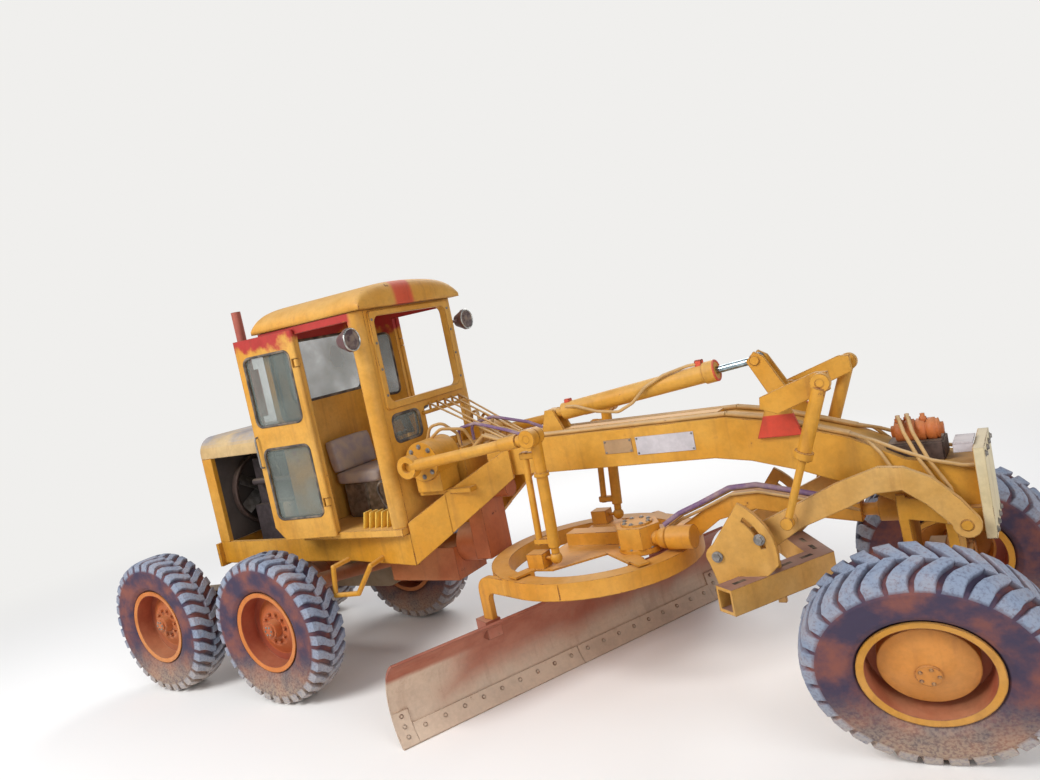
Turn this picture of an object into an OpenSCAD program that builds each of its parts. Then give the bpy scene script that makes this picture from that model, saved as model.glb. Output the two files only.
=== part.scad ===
/* [Overall layout] */
// Distance from the tandem pivot to the front axle
wheelbase = 5560; // [5200:10:6000]
// Distance between the two wheel centres of one tandem
tandem_gap = 1476; // [1400:2:1600]
// Outside radius of every tyre, to the tips of its lugs
tyre_r = 612; // [600:1:640]
// Height of the wheel centres above the ground
wheel_z = 612; // [600:1:640]
// Distance from the centreline to the middle of a tyre
half_track = 864; // [850:1:900]

/* [Wheels] */
// Greatest width of a tyre
tyre_w = 330; // [300:1:340]
// Width of the tread at the tips of the lugs
tread_w = 296; // [260:1:300]
// Height of a lug above the carcass
lug_h = 30; // [20:1:40]
// Radius of the rim where the tyre's bead sits
bead_r = 305; // [300:1:310]
// Radius of the rim's flange
flange_r = 335; // [330:1:345]
// Width of the rim between its flanges
rim_w = 262; // [240:1:270]
// Thickness of the rim's sheet
rim_t = 12; // [8:1:16]
// Radius of the pitch circle of the wheel nuts
nut_pcd_r = 118; // [110:1:125]

/* [Main beam] */
// Width of the main beam
beam_w = 340; // [300:5:360]
// Height of the beam's top above the ground
beam_top = 1800; // [1780:5:1820]
// Depth of the beam where it is level
beam_d = 255; // [230:5:270]
// Thickness of the plates that tie the beam to the rear frame
rail_t = 40; // [25:1:50]

/* [Cab] */
// Outside width of the cab
cab_w = 1220; // [1150:5:1260]
// Distance from the tandem pivot to the cab's rear wall
cab_rear_x = 975; // [950:5:1000]
// Distance from the tandem pivot to the windscreen frame
cab_front_x = 2050; // [2000:5:2100]
// Height of the cab's floor
cab_floor_z = 1300; // [1280:5:1320]
// Height of the cab's side walls where the roof starts
cab_eave_z = 2960; // [2900:5:3000]
// Rise of the roof's crown above the eaves
roof_rise = 200; // [160:5:220]
// Thickness of the cab's walls and roof
cab_wall = 40; // [30:1:50]
// Distance from the tandem pivot to the hinge line of the doors
door_hinge_x = 1372; // [1350:1:1400]
// Width of a door leaf
door_w = 590; // [560:5:600]
// Thickness of a door leaf
door_t = 34; // [28:1:36]
// Angle by which each door stands open beyond lying along the side
door_open = 6; // [4:1:7]

/* [Engine bay] */
// Height of the hood's top at its rear end
hood_top = 2180; // [2120:5:2220]
// Width of the hood
hood_w = 900; // [840:5:940]
// Distance that the hood reaches behind the tandem pivot
hood_rear = 330; // [300:5:360]
// Thickness of the hood's sheet
hood_t = 20; // [12:1:24]
// Radius of the radiator fan
fan_r = 290; // [250:5:310]

/* [Blade] */
// Length of the moldboard
blade_len = 3050; // [2950:10:3150]
// Height of the moldboard with its cutting edge
blade_h = 610; // [580:5:640]
// Angle by which the moldboard's right end trails
blade_yaw = 26; // [20:1:30]
// Distance that the moldboard is shifted to the right along its own line
blade_shift = 115; // [80:5:130]
// Distance from the tandem pivot to the middle of the circle
circle_x = 3312; // [3290:2:3330]
// Outside radius of the circle
circle_r = 775; // [760:5:790]
// Height of the circle's lower face
circle_z = 820; // [810:2:830]
// Height of the circle's band
circle_h = 120; // [100:2:130]

/* [Scarifier] */
// Distance between the outer faces of the scarifier's arms
scar_w = 640; // [600:5:660]
// Thickness of a scarifier arm
scar_t = 40; // [30:1:50]
// Depth of a scarifier arm
scar_d = 150; // [140:5:170]

/* [Front end] */
// Angle by which the front wheels lean to the right
lean = 18; // [16:0.5:19]
// Angle by which the front wheels are steered to the left
steer = 6; // [4:0.5:8]

/* [Hidden] */
$fn = 48;

paint = "#e8a91c";
shade = "#c96a18";
rubber = "#3a3540";
steel = "#9a938a";
glassy = "#a9bfb4";

// Clearances: between faces that move past each other, around a turning pin, and in a seat
run_gap = 6;
pin_gap = 0.05;
seat_gap = 0.3;

// The origin is on the ground under the middle of the whole machine
front_tip_x = wheelbase + tyre_r * cos(steer) + tread_w / 2 * sin(steer);
rear_tip_x = -tandem_gap / 2 - tyre_r;
mid_x = (front_tip_x + rear_tip_x) / 2;
module place() translate([-mid_x, 0, 0]) children();

// A round bar from one point to another
module bar(a, b, r, r2 = -1) {
    d = b - a;
    translate(a)
        rotate([0, acos(d[2] / norm(d)), atan2(d[1], d[0])])
            cylinder(h = norm(d), r1 = r, r2 = r2 < 0 ? r : r2);
}

// A bar along X, Y or Z centred on a point
module bar_x(p, l, r) translate(p) rotate([0, 90, 0]) cylinder(h = l, r = r, center = true);
module bar_y(p, l, r) translate(p) rotate([90, 0, 0]) cylinder(h = l, r = r, center = true);
module bar_z(p, l, r) translate(p) cylinder(h = l, r = r, center = true);

// A box from its lowest to its highest corner
module block(lo, hi) translate(lo) cube(hi - lo);

// A flat shape drawn in X and Z, standing at y with thickness t
module side_plate(y, t) translate([0, y + t / 2, 0]) rotate([90, 0, 0]) linear_extrude(height = t) children();

// A flat shape drawn in Y and Z, standing at x with thickness t
module cross_plate(x, t)
    translate([x - t / 2, 0, 0]) rotate([90, 0, 90]) linear_extrude(height = t) children();

// A flat shape drawn in X and Y, lying at z with thickness t
module floor_plate(z, t) translate([0, 0, z]) linear_extrude(height = t) children();

// A standing plate between two plan points, each [x, y, low z, high z]
module leaning_strip(a, b, t) {
    run = [b[0] - a[0], b[1] - a[1]];
    translate([a[0], a[1], 0]) rotate([0, 0, atan2(run[1], run[0])])
        side_plate(0, t) polygon([[0, a[2]], [norm(run), b[2]], [norm(run), b[3]], [0, a[3]]]);
}

// A round line through a list of points, with a slightly fuller ball at each bend
module line_of(points, r) {
    for (i = [0 : len(points) - 2]) bar(points[i], points[i + 1], r);
    for (i = [1 : len(points) - 2]) translate(points[i]) sphere(r = r * 1.04, $fn = 24);
}

// A rectangle with round corners, from its lowest to its highest corner
module round_rect(lo, hi, r) {
    for (x = [lo[0] + r, hi[0] - r], y = [lo[1] + r, hi[1] - r]) translate([x, y]) circle(r = r);
    translate([lo[0] + r, lo[1]]) square([hi[0] - lo[0] - 2 * r, hi[1] - lo[1]]);
    translate([lo[0], lo[1] + r]) square([hi[0] - lo[0], hi[1] - lo[1] - 2 * r]);
}

// Points of an arc from angle a to angle b
function arc(c, r, a, b, n = 8) = [for (i = [0 : n]) c + r * [cos(a + (b - a) * i / n), sin(a + (b - a) * i / n)]];

// What is drawn for the right side goes to side s: -1 is the right and 1 is the left
module on_side(s) {
    if (s > 0) mirror([0, 1, 0]) children();
    else children();
}

// Wheels, drawn about their own axle, with +Z pointing outboard
tread = [[tyre_r - 22, tread_w / 2], [tyre_r - 6, tread_w / 2 - 40], [tyre_r, tread_w / 2 - 90]];
wall = 26;
module tyre_body() {
    half = [[bead_r + seat_gap, rim_w / 2 - 18], [flange_r, rim_w / 2 - 16], [flange_r + 8, rim_w / 2],
        [flange_r + 45, tyre_w / 2 - 8], [470, tyre_w / 2], [530, tyre_w / 2 - 5], tread[0], tread[1],
        tread[2]];
    inner = [[tyre_r - 62, 0], [tyre_r - 70, tread_w / 2 - 50], [520, tyre_w / 2 - wall - 8],
        [460, tyre_w / 2 - wall], [flange_r + 40, tyre_w / 2 - wall - 12], [bead_r + seat_gap, rim_w / 2 - 50]];
    outer = concat(half, [for (i = [len(half) - 1 : -1 : 0]) [half[i][0], -half[i][1]]]);
    hole = concat([for (i = [len(inner) - 1 : -1 : 0]) [inner[i][0], -inner[i][1]]],
        [for (i = [1 : len(inner) - 1]) inner[i]]);
    rotate_extrude($fn = 96) polygon(concat(outer, hole));
}
module rim_barrel() {
    w = rim_w / 2;
    f = flange_r - 2;
    rotate_extrude($fn = 96) polygon([[bead_r - rim_t, -w - 10], [f, -w - 10], [f, -w + 2], [bead_r, -w + 18],
        [bead_r, w - 18], [f, w - 2], [f, w + 10], [bead_r - rim_t, w + 4]]);
}
module rim_body(disc_z, dish, hub_z, hub_r) {
    rim_barrel();
    // The dished disc from the hub flange to the barrel
    rotate_extrude($fn = 96)
        polygon([[0, dish], [nut_pcd_r + 40, dish], [bead_r - 70, disc_z], [bead_r - rim_t, disc_z],
            [bead_r - rim_t, disc_z + rim_t], [bead_r - 75, disc_z + rim_t], [nut_pcd_r + 35, dish + rim_t + 4],
            [0, dish + rim_t + 4]]);
    // The hub with its cap and its ring of nuts
    translate([0, 0, dish]) cylinder(h = hub_z - dish, r1 = hub_r + 12, r2 = hub_r);
    translate([0, 0, hub_z]) cylinder(h = 16, r = hub_r * 0.72);
    for (i = [0 : 9]) rotate([0, 0, i * 36]) translate([nut_pcd_r, 0, dish]) cylinder(h = 38, r = 15, $fn = 6);
}
module upright_wheel(p, s) translate(p) rotate([-90 * s, 0, 0]) children();

// Tandem cases and the four driven wheels
tandem_in = 452;
tandem_out = 640;
case_r = 175;
hub_in = half_track - tandem_out;
rear_dish = 20;
module tandem(s) color(paint) place() on_side(s) {
    ends = [-tandem_gap / 2, tandem_gap / 2];
    difference() {
        union() {
            for (x = ends) bar_y([x, -(tandem_in + tandem_out) / 2, wheel_z], tandem_out - tandem_in, case_r);
            side_plate(-(tandem_in + tandem_out) / 2, tandem_out - tandem_in)
                polygon([[ends[0], wheel_z - case_r], [ends[1], wheel_z - case_r], [ends[1], wheel_z + case_r],
                    [160, wheel_z + case_r + 40], [-160, wheel_z + case_r + 40], [ends[0], wheel_z + case_r]]);
        }
        // Seat of the pivot on the axle housing
        bar_y([0, -tandem_in, wheel_z], 150, pivot_r + pin_gap);
    }
    // Spindles that carry the wheels, and the cover over the pivot
    for (x = ends) bar([x, -tandem_out + 1, wheel_z], [x, -half_track - rear_dish + seat_gap, wheel_z], 95);
    bar_y([0, -tandem_out - 10, wheel_z], 24, 150);
}
pivot_r = 120;
rear_wheels = [[-tandem_gap / 2, -1], [tandem_gap / 2, -1], [-tandem_gap / 2, 1], [tandem_gap / 2, 1]];
module rear_tyre(i) color(rubber) place()
    upright_wheel([rear_wheels[i][0], rear_wheels[i][1] * half_track, wheel_z], rear_wheels[i][1]) tyre_body();
module rear_rim(i) color(paint) place()
    upright_wheel([rear_wheels[i][0], rear_wheels[i][1] * half_track, wheel_z], rear_wheels[i][1])
        rim_body(-20, rear_dish, 95, 70);

// Drive line: axle housing with its pivots, and the gear case under the cab
module drivetrain() color(shade) place() {
    bar_y([0, 0, wheel_z], 2 * (tandem_in + 74), pivot_r);
    bar_y([0, 0, wheel_z], 2 * (tandem_in - run_gap), 150);
    translate([0, 0, wheel_z + 10]) sphere(r = 250);
    for (s = [-1, 1]) block([-170, s * 387 - 57, wheel_z + 60], [170, s * 387 + 57, rear_rail_z]);
    // Drive shaft and the gear case
    bar([200, 0, wheel_z + 40], [1500, 0, 900], 60);
    block([1450, -190, 740], [2150, 190, rear_rail_z]);
    bar_x([2240, 0, 1000], 180, 150);
    block([2329, -150, 900], [2470, 150, 1400]);
    bar_x([2520, 40, 1413], 260, 75);
}

// Rear frame: two rails under the engine and cab, and the plates that rise to the beam
rear_rail_z = 1010;
rear_rail_h = 200;
rail_y = 430;
rail_front_x = cab_front_x + 25;
beam_rear_x = 2700;
deck_z = 1530;
module rear_frame() color(paint) place() {
    for (s = [-1, 1]) {
        block([-hood_rear, s * rail_y - rail_t / 2, rear_rail_z],
            [1300, s * rail_y + rail_t / 2, rear_rail_z + rear_rail_h]);
        on_side(s) {
            leaning_strip([1290, -rail_y, rear_rail_z, rear_rail_z + rear_rail_h],
                [rail_front_x, -540, 1000, 1245], rail_t);
            leaning_strip([rail_front_x - 8, -540, 1000, 1330], [2360, -400, 1195, 1500], rail_t);
            leaning_strip([2350, -400, 1190, 1500], [2860, -beam_w / 2 - rail_t / 2 + 1.3, 1530, 1760], rail_t);
            // Tubular step under the door, as a stirrup
            line_of([[1310, -500, 1040], [1290, -660, 1030], [1260, -670, 800], [1520, -670, 820],
                [1700, -660, 1040], [1690, -500, 1050]], 20);
        }
    }
    for (p = [[-hood_rear, rail_y], [900, rail_y], [1200, rail_y], [1700, 485]])
        block([p[0], -p[1], rear_rail_z + 30], [p[0] + 60, p[1], rear_rail_z + rear_rail_h - 20]);
    // Deck between the rising plates
    block([2120, -400, 1496], [2600, 400, deck_z]);
    block([-hood_rear - 30, -rail_y - 60, rear_rail_z - 20], [-hood_rear + 6, rail_y + 60, rear_rail_z + rear_rail_h - 8]);
}

// Main beam with the nose that curves down to the front plate
nose_x = wheelbase + 285;
module beam_outline() {
    top = concat([[beam_rear_x, beam_top], [wheelbase - 1060, beam_top]],
        [[wheelbase - 800, 1750], [wheelbase - 340, 1600], [wheelbase - 60, 1450], [nose_x, 1390]]);
    bottom = [[nose_x, 1010], [wheelbase + 30, 1120], [wheelbase - 400, 1330], [wheelbase - 640, 1425],
        [wheelbase - 930, 1510], [wheelbase - 1160, beam_top - beam_d], [beam_rear_x, beam_top - beam_d]];
    polygon(concat(top, bottom));
}
module main_beam() color(paint) place() {
    side_plate(0, beam_w) beam_outline();
    // Ears that carry the shaft of the bellcrank
    for (s = [-1, 1]) side_plate(s * (beam_w / 2 + 14), 28)
        difference() {
            union() {
                polygon([[bellcrank_x - 150, beam_top - 150], [bellcrank_x + 120, beam_top - 150],
                    [bellcrank_x + 58, bellcrank_z], [bellcrank_x - 58, bellcrank_z]]);
                translate([bellcrank_x, bellcrank_z]) circle(r = 58);
            }
            translate([bellcrank_x, bellcrank_z]) circle(r = shaft_r + pin_gap);
        }
    // Closing cross piece where the rear plates meet the beam
    block([beam_rear_x - 60, -beam_w / 2, beam_top - beam_d], [beam_rear_x, beam_w / 2, beam_top - 40]);
    // Channel on top that carries the lines
    block([beam_rear_x + 60, -60, beam_top], [bellcrank_x - 420, 60, beam_top + 24]);
    // Bracket of the scarifier cylinder
    for (y = [-52, 52]) side_plate(y, 24)
        polygon([[3090, beam_top], [3290, beam_top], [3215, 1975], [3150, 1975]]);
    bar_y([scar_cyl[0], 0, scar_cyl[1]], 128, 24);
}

// Front bolster: the end plate, the pivot lugs of the axle and the ball of the drawbar
bolster_z = 800;
cheek = beam_w / 2 + 22;
module front_bolster() color(paint) place() {
    block([nose_x, -250, 1000], [nose_x + 55, 250, 1500]);
    difference() {
        union() {
            for (x = [wheelbase - 117, wheelbase + 117]) cross_plate(x, 54)
                polygon([[-cheek, 1250], [cheek, 1250], [cheek, 1100], [100, bolster_z - 80],
                    [-100, bolster_z - 80], [-cheek, 1100]]);
            // Cheeks that tie the lugs together past the beam, and the block of the scarifier's pin
            side_plate(0, 2 * cheek) polygon([[wheelbase - 130, 1110], [nose_x, 1040], [nose_x, 1160],
                [wheelbase - 130, 1240]]);
            block([scar_pin[0] - 70, -cheek - 38, scar_pin[1] - 70], [nose_x, cheek + 38, scar_pin[1] + 70]);
        }
        side_plate(0, beam_w) beam_outline();
        block([wheelbase - 90, -beam_w / 2, 900], [wheelbase + 90, beam_w / 2, 1300]);
        bar_x([wheelbase, 0, bolster_z], 900, 50 + pin_gap);
    }
    // Socket of the drawbar's ball, behind the rear lug
    difference() {
        bar([drawbar_ball[0] - 12, 0, ball_z], [wheelbase - 143, 0, ball_z], 75);
        bar(drawbar_ball - [60, 0, 0], drawbar_ball + [ball_r + seat_gap, 0, 0], ball_r + seat_gap);
    }
    // Pins of the scarifier's arms
    for (s = [-1, 1]) bar_y([scar_pin[0], s * (cheek + 84), scar_pin[1]], 100, 30);
}

// Engine bay
engine_front_x = 870;
fan_x = -130;
fan_z = 1600;
fan_shaft_r = 24;
module engine() color(shade) place() {
    block([-20, -230, 1090], [engine_front_x, 230, 1480]);
    block([0, -170, 1480], [engine_front_x - 30, 170, 1900]);
    block([20, -130, 1900], [engine_front_x - 60, 130, 1990]);
    // Mounts on the rails, fan shaft and pulley
    for (x = [60, engine_front_x - 120]) block([x, -rail_y + rail_t / 2, 1110], [x + 60, rail_y - rail_t / 2, 1160]);
    bar_x([-38, 0, fan_z], 84, 110);
    bar([fan_x + 20, 0, fan_z], [-79, 0, fan_z], fan_shaft_r);
    bar_x([-50, -40, 1230], 62, 70);
}
module fan() color(steel) place() {
    difference() {
        bar_x([fan_x + 15, 0, fan_z], 60, 62);
        bar([fan_x + 20 - seat_gap, 0, fan_z], [fan_x + 50, 0, fan_z], fan_shaft_r + pin_gap);
    }
    for (i = [0 : 5]) translate([fan_x, 0, fan_z]) rotate([i * 60, 0, 0]) rotate([0, 0, 28])
        block([-3, -58, 50], [3, 58, fan_r]);
}
core_x = -hood_rear + 40;
module radiator() color(paint) place() {
    // Side strips and top of the shell, the core, and the slats of the grille
    for (y = [-hood_w / 2, hood_w / 2 - 40])
        block([-hood_rear, y, rear_rail_z + rear_rail_h], [-hood_rear + 130, y + 40, hood_top - 190]);
    block([core_x, -hood_w / 2 + 40, rear_rail_z + rear_rail_h], [core_x + 90, hood_w / 2 - 40, hood_top - 190]);
    for (i = [0 : 8]) block([-hood_rear, -hood_w / 2 + 40, 1260 + i * 85], [core_x, hood_w / 2 - 40, 1275 + i * 85]);
}
hood_corner = 150;
module hood_section(w, top, low_right, low_left) {
    polygon(concat([[w / 2, low_left]], arc([w / 2 - hood_corner, top - hood_corner], hood_corner, 0, 90),
        arc([-w / 2 + hood_corner, top - hood_corner], hood_corner, 90, 180), [[-w / 2, low_right]]));
}
module hood() color(paint) place() {
    low = hood_top - 190;
    difference() {
        translate([-hood_rear, 0, 0]) rotate([90, 0, 90]) linear_extrude(height = cab_rear_x - 10 + hood_rear)
            hood_section(hood_w, hood_top, low, low);
        translate([-hood_rear + hood_t, 0, 0]) rotate([90, 0, 90])
            linear_extrude(height = cab_rear_x + hood_rear) hood_section(hood_w - 2 * hood_t, hood_top - hood_t,
                low - 10, low - 10);
    }
    // Panel on the left side only
    block([-hood_rear + 131, hood_w / 2 - hood_t, rear_rail_z + rear_rail_h], [cab_rear_x - 10, hood_w / 2, low]);
}
stack = [180, -120];
stack_top = 3240;
module exhaust() color("#8a2f22") place() {
    bar([stack[0], stack[1], hood_top + seat_gap], [stack[0], stack[1], hood_top + 90], 34);
    bar([stack[0], stack[1], hood_top + 90], [stack[0], stack[1], hood_top + 520], 80);
    difference() {
        bar([stack[0], stack[1], hood_top + 520], [stack[0], stack[1], stack_top], 42);
        bar([stack[0], stack[1], hood_top + 560], [stack[0], stack[1], stack_top + 10], 36);
    }
}

// Cab
side_y = cab_w / 2;
corner_r = 90;
roof_rear = cab_rear_x - 60;
roof_front = cab_front_x + 65;
module cab_floor() color(paint) place() {
    block([cab_rear_x, -side_y, cab_floor_z - 55], [cab_front_x, side_y, cab_floor_z]);
}
module crown(w, low, top) {
    shoulder = 110;
    polygon(concat([[w / 2, low]], arc([w / 2 - shoulder, top - 60 - shoulder], shoulder, 0, 70, 6),
        [[0, top]], arc([-w / 2 + shoulder, top - 60 - shoulder], shoulder, 110, 180, 6), [[-w / 2, low]]));
}
module cab_roof() color(paint) place() {
    top = cab_eave_z + roof_rise;
    difference() {
        translate([roof_rear, 0, 0]) rotate([90, 0, 90]) linear_extrude(height = roof_front - roof_rear)
            crown(cab_w + 24, cab_eave_z, top);
        translate([cab_rear_x + cab_wall, 0, 0]) rotate([90, 0, 90])
            linear_extrude(height = cab_front_x - cab_rear_x - 2 * cab_wall)
                crown(cab_w - 2 * cab_wall, cab_eave_z - 10, top - cab_wall);
    }
}
// Hinges of the doors
hinge_zs = [cab_floor_z + 260, cab_eave_z - 280];
hinge_r = 20;
hinge_pin_r = 10;
knuckle_h = 60;
// Window openings, each [low corner, high corner]: the quarter, rear, front and lower front ones
sill_z = cab_eave_z - 720;
quarter_win = [[cab_rear_x + 75, sill_z - 5], [door_hinge_x - 70, cab_eave_z - 170]];
rear_win = [[-430, sill_z + 110], [430, cab_eave_z - 100]];
screen = [[-445, sill_z], [445, cab_eave_z - 55]];
small_win = [[-455, sill_z - 310], [-135, sill_z - 100]];
module cab_sides() color(paint) place() for (s = [-1, 1]) on_side(s) {
    // Rear quarter with its window, and the header over the doorway
    side_plate(-side_y + cab_wall / 2, cab_wall) difference() {
        polygon([[cab_rear_x, cab_floor_z], [door_hinge_x, cab_floor_z], [door_hinge_x, cab_eave_z - 60],
            [cab_front_x - corner_r, cab_eave_z - 60], [cab_front_x - corner_r, cab_eave_z],
            [cab_rear_x, cab_eave_z]]);
        round_rect(quarter_win[0], quarter_win[1], 60);
    }
    // Knuckles of the door's hinges, each with its pin
    for (z = hinge_zs) translate([door_hinge_x, -hinge_y, z]) {
        bar_z([0, 0, 0], knuckle_h, hinge_r);
        block([-15, 0, -knuckle_h / 2], [15, hinge_y - side_y, knuckle_h / 2]);
        bar_z([0, 0, 0], knuckle_h + 60, hinge_pin_r);
    }
    // Round corner post
    floor_plate(cab_floor_z, cab_eave_z - cab_floor_z) translate([cab_front_x - corner_r, -side_y + corner_r])
        difference() {
            polygon(concat([[0, 0]], arc([0, 0], corner_r, -90, 0, 10)));
            circle(r = corner_r - cab_wall);
        }
}
module cab_front() color(paint) place() {
    w = side_y - corner_r;
    cross_plate(cab_front_x - cab_wall / 2, cab_wall) difference() {
        translate([-w, cab_floor_z]) square([2 * w, cab_eave_z - cab_floor_z]);
        round_rect(screen[0], screen[1], 60);
        round_rect(small_win[0], small_win[1], 50);
        // Open lower half on the left, where the control rods pass
        round_rect([-60, cab_floor_z + 120], [w - 60, sill_z - 100], 20);
    }
    // Raised frame round the windscreen
    cross_plate(cab_front_x + 12, 24) difference() {
        round_rect([screen[0][0] - 45, screen[0][1] - 50], [screen[1][0] + 45, screen[1][1] + 40], 30);
        round_rect(screen[0], screen[1], 60);
    }
}
module cab_rear() color(paint) place()
    cross_plate(cab_rear_x + cab_wall / 2, cab_wall) difference() {
        translate([-side_y + cab_wall, cab_floor_z]) square([cab_w - 2 * cab_wall, cab_eave_z - cab_floor_z]);
        round_rect(rear_win[0], rear_win[1], 70);
    }
glass_t = 6;
module cab_glass() color(glassy, 0.5) place() {
    for (s = [-1, 1]) side_plate(s * (side_y - cab_wall / 2), glass_t)
        round_rect(quarter_win[0], quarter_win[1], 60);
    cross_plate(cab_rear_x + cab_wall / 2, glass_t) round_rect(rear_win[0], rear_win[1], 70);
    cross_plate(cab_front_x - cab_wall / 2, glass_t) round_rect(small_win[0], small_win[1], 50);
}

// Doors, drawn lying back along the cab from the hinge at the origin, and then swung a little outward
hinge_y = side_y + door_t / 2 + 8;
door_low = cab_floor_z - 20;
door_high = cab_eave_z - 20;
upper_pane = [[-door_w + 65, sill_z - 15], [-50, cab_eave_z - 170]];
lower_pane = [[-door_w + 65, cab_floor_z + 155], [-50, sill_z - 200]];
module hung(s) place() on_side(s) translate([door_hinge_x, -hinge_y, 0]) rotate([0, 0, door_open]) children();
module door(s) color(paint) hung(s) difference() {
    union() {
        side_plate(0, door_t) difference() {
            polygon([[-door_w, door_low + 110], [-door_w + 90, door_low], [0, door_low], [0, door_high],
                [-door_w, door_high]]);
            for (p = [upper_pane, lower_pane]) round_rect(p[0], p[1], 55);
        }
        bar([0, 0, door_low], [0, 0, door_high], hinge_r);
    }
    // Room for the knuckles, and the bores of their pins
    for (z = hinge_zs) {
        bar_z([0, 0, z], knuckle_h + 8, 34);
        bar_z([0, 0, z], knuckle_h + 64, hinge_pin_r + pin_gap);
    }
}
module door_glass(s) color(glassy, 0.5) hung(s)
    side_plate(0, glass_t) for (p = [upper_pane, lower_pane]) round_rect(p[0], p[1], 55);

seat_x = 1225;
module seat() color("#8d8a93") place() {
    block([seat_x - 120, -200, cab_floor_z], [seat_x + 150, 200, cab_floor_z + 300]);
    translate([seat_x - 150, -240, cab_floor_z + 300]) cube([500, 480, 110]);
    translate([seat_x - 145, -240, cab_floor_z + 395]) rotate([0, -8, 0]) cube([90, 480, 275]);
}
module controls() color(steel) place() {
    // Column with the steering wheel
    bar_z([1958, 0, cab_floor_z + 15], 30, 48);
    bar([1958, 0, cab_floor_z + 10], [1770, 0, 2090], 35);
    translate([1770, 0, 2090]) rotate([0, -12, 0]) {
        rotate_extrude($fn = 64) translate([205, 0]) circle(r = 14, $fn = 24);
        for (i = [0 : 2]) rotate([0, 0, i * 120]) bar([0, 0, 0], [200, 0, 0], 9);
        cylinder(h = 40, r = 40, center = true);
    }
    // Row of levers on their box, and the pedals
    block([1880, -300, cab_floor_z], [1930, 300, cab_floor_z + 60]);
    for (y = [-270, -210, -150, -90, 90, 150]) {
        bar([1905, y, cab_floor_z + 60], [1830, y, 1960], 8);
        translate([1830, y, 1960]) sphere(r = 22, $fn = 24);
    }
}
lamp_z = cab_eave_z - 200;
module work_lamps() color("#d8d2c4") place() for (s = [-1, 1]) on_side(s) {
    // Stalk that stands out of the round corner post
    translate([cab_front_x - corner_r, -side_y + corner_r, lamp_z]) rotate([0, 0, -65])
        bar([corner_r + seat_gap, 0, 0], [corner_r + 70, 0, 0], 12);
    translate([cab_front_x - 80, -side_y - 110, lamp_z]) rotate([0, 90, 0]) {
        cylinder(h = 80, r1 = 50, r2 = 85);
        translate([0, 0, 80]) cylinder(h = 25, r = 88);
    }
}

// Hydraulic valves and the lift cases ahead of the cab
lift_pivot = [2262, 1770];
lift_y = 560;
module valve_bank() color(paint) place() {
    block([2130, -190, deck_z], [2440, 190, 1800]);
    for (y = [-120, -40, 40, 120]) bar([2200, y, 1800], [2200, y, 1860], 26);
    for (s = [-1, 1]) {
        bar_y([lift_pivot[0], s * 330, lift_pivot[1]], 282, 150);
        block([lift_pivot[0] - 120, s * 330 - 110, deck_z], [lift_pivot[0] + 120, s * 330 + 110, lift_pivot[1] - 60]);
        bar_y([lift_pivot[0], s * 545, lift_pivot[1]], 150, 38);
    }
}
line_r = 13;
module hydraulic_lines() color(paint) place() for (y = [-138, -102, 102, 138]) {
    above = line_r + 2;
    line_of([[2440 + seat_gap, y, 1760], [2480, y, 1760], [2620, y, beam_top + 60], [2760, y, beam_top + above],
        [wheelbase - 1058, y, beam_top + above], [wheelbase - 798, y, 1751 + above],
        [wheelbase - 340, y, 1601 + above]], line_r);
}

// Front axle, leaning yokes, knuckles and wheels. The lean pin is under the wheel's centre.
lean_b = 120;
lean_y = half_track - lean_b * sin(lean);
tilt = asin(sin(lean) * cos(steer));
lean_z = max([for (p = tread) p[0] * cos(tilt) + p[1] * sin(tilt)]) - lean_b * cos(lean);
axle_t = 90;
ear_t = 30;
lean_pin_r = 24;
kingpin_r = 26;
yoke_top = 76;
knuckle_top = 190;
link_h = 135;
link_pin_r = 14;
lean_bar_x = 100;
module at_lean(s) place() translate([wheelbase, s * lean_y, lean_z]) rotate([lean, 0, 0]) children();
module at_steer(s) at_lean(s) rotate([0, 0, steer]) children();
module front_axle() color(paint) place() difference() {
    union() {
        cross_plate(wheelbase, axle_t) polygon([[-lean_y, lean_z - 35], [-420, lean_z - 30],
            [-170, bolster_z - 95], [170, bolster_z - 95], [420, lean_z - 30], [lean_y, lean_z - 35],
            [lean_y, lean_z + 35], [lean_y - 85, lean_z + 35], [500, lean_z + 120], [170, bolster_z + 85],
            [-170, bolster_z + 85], [-500, lean_z + 120], [-lean_y + 85, lean_z + 35],
            [-lean_y, lean_z + 35]]);
        for (s = [-1, 1]) bar_x([wheelbase, s * lean_y, lean_z], axle_t, 48);
        bar_x([wheelbase, 0, bolster_z], 300, 50);
    }
    for (s = [-1, 1]) bar_x([wheelbase, s * lean_y, lean_z], axle_t + 2, lean_pin_r + pin_gap);
}
module lean_yoke(s) color(paint) at_lean(s) {
    ear_x = axle_t / 2 + run_gap + ear_t / 2;
    reach = ear_x + ear_t / 2;
    bar_x([0, 0, 0], 2 * reach, lean_pin_r);
    for (x = [-ear_x, ear_x]) {
        bar_x([x, 0, 0], ear_t, 38);
        block([x - ear_t / 2, -38, 0], [x + ear_t / 2, 38, yoke_top]);
    }
    block([-reach, -42, yoke_top - 14], [reach, 42, yoke_top]);
    // Kingpin with its cap
    bar_z([0, 0, (yoke_top + knuckle_top) / 2], knuckle_top - yoke_top + 4, kingpin_r);
    translate([0, 0, knuckle_top + seat_gap]) cylinder(h = 14, r = 40);
    // Forward horn whose two ears hold the lean bar
    block([reach - 1, -22, yoke_top - 14], [lean_bar_x + 28, 22, yoke_top]);
    for (x = [lean_bar_x - 21, lean_bar_x + 21]) block([x - 7, -22, yoke_top - 1], [x + 7, 22, link_h + 22]);
    bar_x([lean_bar_x, 0, link_h], 60, link_pin_r);
}
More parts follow.
